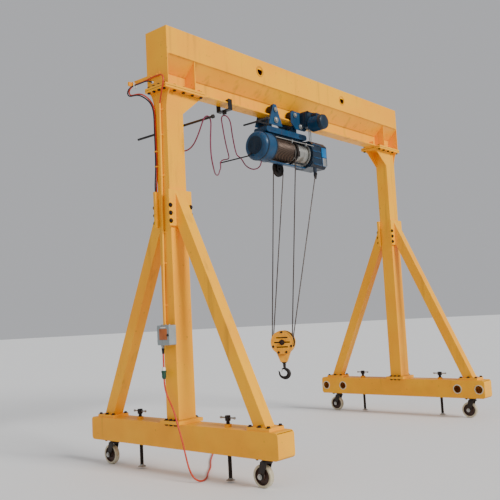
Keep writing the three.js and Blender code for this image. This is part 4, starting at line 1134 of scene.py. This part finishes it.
@dataclass
class RunningGear:
    """Castor wheels, jacks and their fittings."""

    column_x: float = 2.1
    castor_y: float = 1.03
    trail: float = 0.045
    wheel: float = 0.1
    jack_y: float = 0.6

    def castor(self, name: str, x: float, y: float) -> None:
        """One castor wheel with its tread, hub and axle nuts.

        Args:
            name: the corner's name.
            x: the swivel's place along the girder.
            y: the swivel's place along the base beam.
        """
        centre = (x, y + self.trail, self.wheel)
        form = Form()
        tread = [(0.0765, -0.022), (0.091, -0.025), (0.097, -0.022), (0.0995, -0.012)]
        form.lathe(mirrored(tread, (self.wheel, 0.0)), centre, Axis.X, 64)
        form.coat = 1
        hub = [(0.0105, -0.0298), (0.027, -0.0298), (0.03, -0.026), (0.034, -0.012), (0.066, -0.010)]
        hub += [(0.070, -0.0235), (0.0765, -0.0235)]
        form.lathe([*hub, *((r, -d) for r, d in reversed(hub))], centre, Axis.X, 48)
        node = f"castor_wheel_{name}"
        form.finish(f"castor_roller_{name}", [CREAM_TYRE, HUB], node, "castor_tyre", [node])
        nuts = Form()
        for s in SIDES:
            nuts.bolt((centre[0] + s * 0.0515, centre[1], centre[2]), (s, 0, 0), 0.034, 0.012)
        nuts.finish(f"castor_nuts_{name}", [BRIGHT_STEEL], f"castor_fork_{name}", "bright_steel")
        bolts = Form()
        for s in SIDES:
            for t in SIDES:
                bolts.bolt((x + s * 0.058, y + t * 0.058, 0.2493), (0, 0, -1), 0.022, 0.009)
        bolts.finish(f"castor_plate_bolts_{name}", [BOLT_STEEL], "frame", "dark_steel")

    def jack(self, name: str, x: float, y: float) -> None:
        """One levelling jack: threaded screw, hexagon head, handle and swivel foot.

        Args:
            name: the corner's name.
            x: the screw's place along the girder.
            y: the screw's place along the base beam.
        """
        form = Form()
        screw = [(0.0, 0.03), (0.0155, 0.03)]
        pitch, root, crest = 0.008, 0.0160, 0.0182
        for k in range(int((0.535 - 0.05) / pitch)):
            z = 0.05 + k * pitch
            screw += [(root, z), (crest, z + pitch * 0.35)]
            screw += [(crest, z + pitch * 0.55), (root, z + pitch * 0.9)]
        form.lathe([*screw, (root, 0.54), (0.0, 0.54)], (x, y, 0), Axis.Z, 20)
        head = [(0.0, 0.538), (0.026, 0.538), (0.029, 0.543), (0.029, 0.58), (0.026, 0.585), (0.0, 0.585)]
        form.lathe(head, (x, y, 0), Axis.Z, 6)
        form.coat = 1
        form.tube([Vector((x, y + d, 0.565)) for d in (-0.083, 0.0, 0.083)], 0.0075, 14)
        for s in SIDES:
            knob = mirrored([(0.0, -0.011), (0.009, -0.009)], (0.0125, 0.0))
            form.lathe(knob, (x, y + s * 0.082, 0.565), Axis.Y, 18)
        foot = [(0.0, 0.02), (0.040, 0.02), (0.0405, 0.0235), (0.038, 0.027), (0.024, 0.032)]
        form.lathe([*foot, (0.021, 0.041), (0.0, 0.0425)], (x, y, 0), Axis.Z, 36)
        form.finish(
            f"jack_{name}", [HOOK_STEEL, PLAIN_STEEL], f"jack_{name}", "dark_steel", [f"jack_screw_{name}"]
        )

    def build(self) -> None:
        """All four corners."""
        for leg, side in LEGS:
            for corner, front in CORNERS:
                name = f"{leg}_{corner}"
                self.castor(name, side * self.column_x, front * self.castor_y)
                self.jack(name, side * self.column_x, front * self.jack_y)


@dataclass
class ControlBox:
    """The box's label, lock, hinges, the conduit and its clips."""

    front: float = -2.301
    centre_y: float = -0.010
    bottom: float = 1.225
    top: float = 1.411
    conduit: tuple[Point, ...] = (
        (-2227.3, 38, 1411.3),
        (-2227.3, 34, 1711),
        (-2227.3, 12, 2500),
        (-2227.3, -4, 3200),
        (-2227.3, -10, 3560.4),
    )
    clip_places: tuple[Point, ...] = (
        (0.036, 1.6),
        (0.0265, 2.0),
        (0.016, 2.3),
        (0.003, 2.85),
        (-0.005, 3.25),
        (-0.009, 3.5),
    )

    def build(self) -> None:
        """The door's fittings ride on the door, the rest on the frame."""
        y0, y1 = self.centre_y - 0.082, self.centre_y + 0.082
        door = Form()
        seat = self.front + 0.0005
        low = (self.front - 0.0022, y0 + 0.028, self.bottom + 0.05)
        door.block(low, (seat, y1 - 0.03, self.top - 0.034), 0.0008)
        door.coat = 1
        lock = [(0.0, -0.010), (0.010, -0.010), (0.012, -0.006), (0.012, 0.001), (0.0, 0.001)]
        door.lathe(lock, (self.front, y0 + 0.016, (self.bottom + self.top) / 2), Axis.X, 24)
        door.coat = 2
        low = (self.front - 0.003, y0 + 0.045, self.top - 0.028)
        door.block(low, (seat, y1 - 0.045, self.top - 0.016), 0.001)
        door.coat = 3
        for z in (self.bottom + 0.035, self.top - 0.035):
            door.lathe(hoop(0.0, 0.004, -0.014, 0.014), (self.front + 0.004, y1, z), Axis.Z, 16)
        finishes = [LABEL, BLACK_PAINT, WHITE_PLASTIC, PLAIN_STEEL]
        door.finish("box_door_fittings", finishes, "box_door", "box_grey")
        body = Form()
        for y in (self.centre_y - 0.05, self.centre_y, self.centre_y + 0.05):
            body.bolt((-2.262, y, self.top), (0, 0, 1), 0.016, 0.006)
        body.lathe(hoop(0.0145, 0.020, -0.016, -0.002), (-2.2683, 0.035, self.bottom), Axis.Z, 6)
        body.finish("box_fittings", [PLAIN_STEEL], "frame", "bright_steel")
        pipe = Form()
        pipe.tube(smooth_route(mm(self.conduit), 60), 0.011, 20)
        pipe.finish("conduit_pipe", [YELLOW], "frame", "yellow_paint", ["conduit"])
        clips = Form()
        for y, z in self.clip_places:
            clips.lathe(hoop(0.0112, 0.0138, -0.009, 0.009), (-2.2273, y, z), Axis.Z, 20)
            clips.block((-2.2165, y - 0.032, z - 0.009), (-2.2115, y + 0.032, z + 0.009), 0.001)
        for z in (3.1, 2.95):
            clips.block((-2.2285, 0.058, z - 0.006), (-2.2115, 0.097, z + 0.006), 0.002)
        clips.finish("conduit_clips", [YELLOW], "frame", "yellow_paint")
        tie = Form()
        loop = arc((-2.265, 0.3, 3.81), Vector((0.016, 0, 0)), Vector((0, 0.004, 0.026)), 360, 24)
        tie.tube(loop, 0.003, 8)
        tie.block((-2.284, 0.296, 3.798), (-2.279, 0.304, 3.848), 0.001)
        gland = [(0.0076, -0.012), (0.012, -0.010), (0.014, 0.0), (0.0076, 0.0)]
        tie.lathe(gland, (-2.2353, 0.07, 3.79), Axis.X, 20)
        tie.finish("bracket_tie", [WHITE_PLASTIC], "frame", "plug_green")


@dataclass
class Trolley:
    """Trolley wheels, bumpers, travel motor and fasteners."""

    wheel_x: tuple[float, float] = (-0.533, -0.165)
    wheel_z: float = 3.8033
    motor: Point = (0.023, 0.0, 3.7)
    motor_back: float = -0.2056
    beam_z: float = 3.565

    def wheels(self) -> None:
        """Four flanged wheels."""
        for place, x in zip(("idle", "drive"), self.wheel_x):
            for name, t in CORNERS:
                form = Form()
                rim = [(0.0123, 0.020), (0.022, 0.020), (0.024, 0.027), (0.045, 0.027), (0.048, 0.020)]
                rim += [(0.053, 0.020), (0.055, 0.023), (0.055, 0.0765), (0.064, 0.079), (0.066, 0.083)]
                rim += [(0.064, 0.088), (0.030, 0.088)]
                profile = [(r, t * y) for r, y in [*rim, (0.028, 0.084), (0.0123, 0.084)]]
                form.lathe(profile, (x, 0, self.wheel_z), Axis.Y, 40)
                node = f"trolley_wheel_{place}_{name}"
                form.finish(f"runner_{place}_{name}", [HOOK_STEEL], node, "dark_steel", [node])

    def travel_motor(self) -> None:
        """A finned motor with a cowl and a terminal box."""
        x, _, z = self.motor
        back = self.motor_back
        form = Form()
        form.lathe(hoop(0.0, 0.072, 0.0, -0.018), (x, back, z), Axis.Y, 40)
        fins = [(0.0, -0.017), (0.080, -0.017)]
        for k in range(11):
            y = -0.022 - k * 0.0115
            fins += [(0.090, y), (0.090, y - 0.005), (0.083, y - 0.006), (0.083, y - 0.0105)]
        form.lathe([*fins, (0.0, -0.150)], (x, back, z), Axis.Y, 48)
        form.coat = 1
        cowl = [(0.0, -0.149), (0.0895, -0.149), (0.0898, -0.178), (0.084, -0.196), (0.068, -0.2045)]
        form.lathe([*cowl, (0.0, -0.205)], (x, back, z), Axis.Y, 48)
        form.block((x - 0.04, back - 0.115, z + 0.08), (x + 0.04, back - 0.03, z + 0.118), 0.006)
        form.finish("travel_motor_body", [BLUE, DEEP_BLUE], "trolley", "hoist_blue", ["travel_motor"])

    def fasteners(self) -> None:
        """Bolts, the bright tie nuts, beam covers and the tow bracket."""
        form = Form()
        for x in self.wheel_x:
            for s in SIDES:
                form.bolt((x, s * 0.115, self.wheel_z), (0, s, 0), 0.04, 0.016)
        for x in (-0.533, -0.06):
            for s in SIDES:
                form.bolt((x, s * 0.1141, 3.681), (0, s, 0), 0.05, 0.018)
        form.finish("tie_nuts", [BRIGHT_STEEL], "trolley", "bright_steel")
        dark = Form()
        for x in (-0.03, 0.02, 0.085, 0.11):
            dark.bolt((x, -0.2055, 3.85 if abs(x - 0.04) > 0.03 else 3.679), (0, -1, 0), 0.02, 0.008)
        for x in (-0.57, -0.1):
            cap = [(0.0, 0.0), (0.024, 0.0), (0.022, -0.006), (0.0, -0.006)]
            dark.lathe(cap, (x, -0.0805, self.beam_z), Axis.Y, 28)
        outline = mm([(-655, 0, 3700), (-862, 0, 3622), (-862, 0, 3600), (-655, 0, 3600)])
        inner = mm([(-675, 0, 3672), (-806, 0, 3622), (-806, 0, 3618), (-675, 0, 3618)])
        for a, b, c, d in zip(outline, outline[1:] + outline[:1], inner[1:] + inner[:1], inner):
            dark.plate([v + Vector((0, -0.107, 0)) for v in (a, b, c, d)], Vector((0, 0.01, 0)))
        dark.tube(mm([(-845, -110, 3612), (-845, 110, 3612)]), 0.011, 14)
        dark.finish("trolley_bracket", [BLACK_PAINT], "trolley", "dark_steel")

    def beam(self) -> None:
        """Rounded ends and side plates of the suspension beam."""
        form = Form()
        for s in SIDES:
            up, out = Vector((0, 0, 0.034)), Vector((0.034, 0, 0))
            points = arc((-0.655, s * 0.082, self.beam_z), up, -out, 180, 12)
            points += arc((0.04, s * 0.082, self.beam_z), -up, out, 180, 12)
            form.plate(points, Vector((0, s * 0.012, 0)))
        form.finish("beam_side_plates", [BLUE], "trolley", "hoist_blue")

    def build(self) -> None:
        """All of the trolley's pieces."""
        self.wheels()
        self.travel_motor()
        self.fasteners()
        self.beam()


@dataclass
class Hoist:
    """The hoist: motor cover, drum, rope guide, shell, cable arm and control cover."""

    axis_z: float = 3.37
    radius: float = 0.168
    start: float = -0.8
    motor_end: float = -0.59
    drum_end: float = 0.095
    drum_radius: float = 0.122
    rope_pitch: float = 0.0138
    guide_x: float = -0.195
    sheave: Point = (-0.268, 0.104, 3.18)
    beam_bottom: float = 3.5396

    def on_axis(self, x: float = 0.0) -> Point:
        """A point on the drum's axis."""
        return (x, 0.0, self.axis_z)

    def body(self) -> None:
        """The parts bolted together that carry the drum."""
        form = Form()
        start, end, axis = self.start, self.motor_end, self.axis_z
        shell = [(0.0, start), (0.118, start), (0.142, start + 0.006), (0.158, start + 0.022)]
        shell += [(self.radius, start + 0.05), (self.radius, end), (0.0, end)]
        form.lathe(shell, self.on_axis(), Axis.X, 72)
        self.bow(form, end - 0.002, self.drum_end, self.radius - 0.006, self.radius)
        form.block((end - 0.02, -0.045, axis - self.radius), (self.drum_end, 0.015, axis - 0.154), 0.003)
        for x in (-0.533, -0.06):
            form.block((x - 0.04, -0.05, axis + 0.155), (x + 0.04, 0.05, self.beam_bottom), 0.003)
        form.coat = 1
        form.lathe(hoop(0.0, 0.104, 0.0, -0.004), self.on_axis(start), Axis.X, 48)
        for x in (start + 0.052, end - 0.012):
            form.lathe(hoop(0.164, 0.1705, -0.008, 0.008), self.on_axis(x), Axis.X, 72)
        form.lathe(hoop(0.138, 0.172, -0.014, 0.0), self.on_axis(self.drum_end), Axis.X, 72)
        for reach in (0.03, 0.05, 0.07, 0.09):
            grille = hoop(reach - 0.003, reach + 0.003, -0.007, -0.003)
            form.lathe(grille, self.on_axis(start), Axis.X, 40)
        for k in range(14):
            turn = math.radians(115 + 17 * k)
            seat = (self.drum_end - 0.014, 0.156 * math.cos(turn), axis + 0.156 * math.sin(turn))
            form.bolt(seat, (-1, 0, 0), 0.014, 0.006)
        for x in (-0.52, -0.4, -0.28, -0.16, -0.04):
            rib = [math.radians(-18 + 118 * k / 16) for k in range(17)]
            ridge = [Vector((x, 0.1695 * math.cos(a), axis + 0.1695 * math.sin(a))) for a in rib]
            form.tube(ridge, 0.004, 8)
        form.coat = 2
        self.return_bracket(form)
        form.tube(mm([(-850, 60, 3248), (-850, 500, 3248)]), 0.008, 14)
        form.tube(mm([(-850, 60, 3248), (-770, 60, 3310)]), 0.009, 14)
        form.coat = 3
        bar = axis + 0.098
        form.tube([Vector((x, -0.148, bar)) for x in (end - 0.01, 0.13)], 0.006, 14)
        for x in (-0.3, -0.03):
            form.lathe(hoop(0.006, 0.014, -0.012, 0.012), (x, -0.148, bar), Axis.X, 20)
            form.block((x - 0.006, -0.156, bar - 0.03), (x + 0.006, -0.142, bar), 0.001)
        form.lathe(hoop(0.139, 0.150, -0.005, 0.005), self.on_axis(0.0535), Axis.X, 72)
        finishes = [BLUE, DEEP_BLUE, BLACK_PAINT, BRIGHT_STEEL]
        form.finish("hoist_frame", finishes, "trolley", "hoist_blue", ["hoist_body"])

    def bow(self, form: Form, x0: float, x1: float, inner: float, outer: float) -> None:
        """The curved shell behind the drum.

        Args:
            form: the mesh that it joins.
            x0: where it starts.
            x1: where it ends.
            inner: its inner radius.
            outer: its outer radius.
        """
        angles = [math.radians(-25 + 131 * k / 24) for k in range(25)]
        edge = [(math.cos(a) * outer, math.sin(a) * outer) for a in angles]
        edge += [(math.cos(a) * inner, math.sin(a) * inner) for a in reversed(angles)]
        form.plate([Vector((x0, y, self.axis_z + z)) for y, z in edge], Vector((x1 - x0, 0, 0)))

    def return_bracket(self, form: Form) -> None:
        """The cheeks, arm and pin of the return sheave.

        Args:
            form: the mesh that they join.
        """
        x, y, z = self.sheave
        for low, thick, top in ((y + 0.0225, 0.007, 3.33), (y - 0.022, 0.004, 3.24)):
            points = arc((x, low, z), Vector((-0.044, 0, 0)), Vector((0, 0, -0.044)), 180, 16)
            points += [Vector((x + 0.044, low, top)), Vector((x - 0.044, low, top))]
            form.plate(points, Vector((0, thick, 0)))
        form.block((x - 0.044, y + 0.0225, 3.306), (x + 0.044, self.radius - 0.002, 3.33), 0.002)
        form.lathe(hoop(0.0, 0.0138, -0.022, 0.03), self.sheave, Axis.Y, 24)

    def drum(self) -> None:
        """A grooved drum, rope wound on its far part."""
        form = Form()
        start, end = self.motor_end + 0.006, self.drum_end - 0.020
        root, crest = self.drum_radius - 0.004, self.drum_radius
        profile = [(0.0, start), (0.142, start), (0.142, start + 0.012), (0.116, start + 0.014)]
        x = start + 0.02
        while x < end - 0.03:
            profile += [(root, x), (crest, x + 0.004), (crest, x + 0.006), (root, x + 0.010)]
            x += self.rope_pitch
        profile += [(0.116, end - 0.014), (0.142, end - 0.012), (0.142, end), (0.0, end)]
        form.lathe(profile, self.on_axis(), Axis.X, 56)
        form.coat = 1
        first = self.motor_end + 0.024
        turns = int((self.guide_x - first) / self.rope_pitch)
        per_turn = 36
        wound = []
        for i in range(turns * per_turn + 1):
            angle = 2 * math.pi * i / per_turn
            reach = self.drum_radius + 0.0025
            x = first + self.rope_pitch * i / per_turn
            wound.append(Vector((x, reach * math.cos(angle), self.axis_z + reach * math.sin(angle))))
        form.tube(wound, 0.0065, 7)
        form.finish("wound_drum", [PLAIN_STEEL, WOUND_ROPE], "drum", "dark_steel", ["rope_drum"])

    def guide(self) -> None:
        """The rope guide ring that walks along the drum, and its shoe."""
        form = Form()
        x, z = self.guide_x, self.axis_z
        ring = mirrored([(0.1335, -0.016), (0.146, -0.016)], (0.148, 0.0))
        form.lathe(ring, self.on_axis(x + 0.016), Axis.X, 64)
        form.block((x - 0.01, -0.158, z - 0.075), (x + 0.03, -0.143, z - 0.01), 0.003)
        form.finish("rope_guide", [HOOK_STEEL], "trolley", "dark_steel")

    def gear_end(self) -> None:
        """The bright control cover on the gearbox end, ribs and bolts."""
        form = Form()
        face, axis = 0.4005, self.axis_z
        side = -0.1495
        lid = [(0.0, 0.0), (0.120, 0.0), (0.120, 0.022), (0.112, 0.0305), (0.036, 0.0305)]
        form.lathe([*lid, (0.032, 0.034), (0.0, 0.034)], self.on_axis(face), Axis.X, 56)
        form.block((0.285, -0.158, axis - 0.02), (0.385, side, axis + 0.1), 0.004)
        form.coat = 1
        form.block((0.295, -0.1605, axis - 0.13), (0.375, side, axis - 0.026), 0.003)
        form.coat = 2
        for k in range(10):
            turn = 2 * math.pi * k / 10
            seat = (face + 0.0001, 0.134 * math.cos(turn), axis + 0.134 * math.sin(turn))
            form.bolt(seat, (1, 0, 0), 0.018, 0.008)
        for z in (-0.12, -0.04, 0.04, 0.12):
            form.block((0.12, -0.1585, axis + z - 0.006), (0.27, side, axis + z + 0.006), 0.002)
        form.finish("gear_end_covers", [BRIGHT_BLUE, BRIGHT_STEEL, DEEP_BLUE], "trolley", "hoist_blue")

    def build(self) -> None:
        """All of the hoist's pieces."""
        self.body()
        self.drum()
        self.guide()
        self.gear_end()


@dataclass
class HookBlock:
    """The block's sheaves, covers' trim, hook and the return sheave."""

    centre: Point = (-0.485, 0.0, 1.145)
    twist: float = 25.0
    sheave_offset: float = 0.03
    over: Point = (-0.268, 0.104, 3.18)

    def place(self) -> Matrix:
        """The block's own frame."""
        return Matrix.Translation(Vector(self.centre)) @ Matrix.Rotation(math.radians(self.twist), 4, "Z")

    def sheaves(self) -> None:
        """Two grooved sheaves on the block's pin, and the return sheave above."""
        web = [(0.0155, -0.0128), (0.034, -0.0128), (0.037, -0.006), (0.098, -0.006), (0.104, -0.0125)]
        web += [(0.118, -0.0125), (0.1255, -0.011), (0.1255, -0.0095), (0.1115, -0.0078)]
        lower = mirrored(web, (0.1085, 0.0))
        for name, s in LEGS:
            form = Form(self.place())
            form.lathe(lower, (s * self.sheave_offset, 0, 0), Axis.X, 56)
            node = f"block_sheave_{name}"
            form.finish(f"grooved_sheave_{name}", [HOOK_STEEL], f"sheave_{name}", "dark_steel", [node])
        form = Form()
        upper = [(0.0145, -0.0118), (0.030, -0.0118), (0.033, -0.006), (0.074, -0.006), (0.080, -0.0118)]
        upper += [(0.0955, -0.0112), (0.0955, -0.0095), (0.0872, -0.0075)]
        form.lathe(mirrored(upper, (0.0845, 0.0)), self.over, Axis.Y, 48)
        form.finish("grooved_sheave_return", [HOOK_STEEL], "return_sheave", "dark_steel", ["return_sheave"])

    def trim(self) -> None:
        """Rolled rims, pin nuts and stay bolts of the covers."""
        form = Form(self.place())
        for s in SIDES:
            face = s * 0.06
            rim = arc((face, 0, 0), Vector((0, 0.126, 0)), Vector((0, 0, 0.126)), 360, 64)
            form.tube(rim, 0.005, 8)
        form.coat = 1
        for s in SIDES:
            form.bolt((s * 0.0632, 0, 0), (s, 0, 0), 0.044, 0.016)
            stays = [(t * y, z) for y, z in ((0.105, -0.045), (0.045, -0.112)) for t in SIDES]
            for y, z in [*stays, (0.0, 0.116)]:
                form.bolt((s * 0.0602, y, z), (s, 0, 0), 0.02, 0.008)
        form.finish("block_trim", [BLOCK_ORANGE, BOLT_STEEL], "block", "block_orange")

    def hook(self) -> None:
        """A forged hook, thick in its bowl and drawn out at its tip."""
        form = Form(self.place())
        route = [Vector((0, 0, z / 1000)) for z in (-190, -236, -250, -268, -285)]
        shank = 0.0165
        radii = [shank, shank, shank, 0.0163, 0.016]
        for k in range(25):
            angle = math.radians(76 - 256 * k / 24)
            reach = 0.06 if angle < -math.pi / 2 else 0.048
            route.append(Vector((0, -reach * math.cos(angle), -0.35 + 0.048 * math.sin(angle))))
            swell = 0.0065 * math.sin(math.pi * min(k / 18, 1.0))
            radii.append(shank + swell - 0.007 * max(0.0, (k - 16) / 8))
        route += [Vector((0, 0.063, -0.336)), Vector((0, 0.068, -0.324)), Vector((0, 0.071, -0.320))]
        radii += [0.0088, 0.0065, 0.003]
        form.tube(route, radii, 20)
        nut = [(0.0, -0.236), (0.025, -0.236), (0.027, -0.233), (0.027, -0.2225), (0.0, -0.2225)]
        form.lathe(nut, (0, 0, 0), Axis.Z, 28)
        for t in SIDES:
            form.block((t * 0.011 - 0.002, 0.008, -0.305), (t * 0.011 + 0.002, 0.03, -0.291), 0.001)
        form.finish("forged_hook", [HOOK_STEEL], "hook", "dark_steel", ["hook"])

    def build(self) -> None:
        """All of the block's pieces."""
        self.sheaves()
        self.trim()
        self.hook()


def dress_nodes(frame: dict[str, object]) -> None:
    """Gives every carried-over node its finish.
    """
    slots = {part["node"]: part["material_slot"] for part in frame["record"]["subparts"]}
    special = {"cable_bracket": YELLOW, "splice_bolts_near": BOLT_STEEL, "splice_bolts_far": BOLT_STEEL}
    special |= {"travel_gearbox": DEEP_BLUE, "hoist_gearbox": DEEP_BLUE}
    for name, node in frame["nodes"].items():
        finish = special.get(name, SLOT_FINISHES[slots[name]])
        node.data.materials.clear()
        node.data.materials.append(finish.material())
        LOG.info("node %s wears %s", name, finish.name)


def main() -> None:
    """Builds the camera, the cords and then each sub-assembly."""
    logging.basicConfig(level=logging.INFO, format="%(name)s: %(message)s")
    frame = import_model()
    studio = Studio()
    studio.camera()
    SupplyCord().build()
    Leads().build()
    HoistRope().build()
    studio.lights()
    studio.floor()
    dress_nodes(frame)
    for assembly in (Portal(), RunningGear(), ControlBox(), Trolley(), Hoist(), HookBlock()):
        assembly.build()


if __name__ == "__main__":
    main()
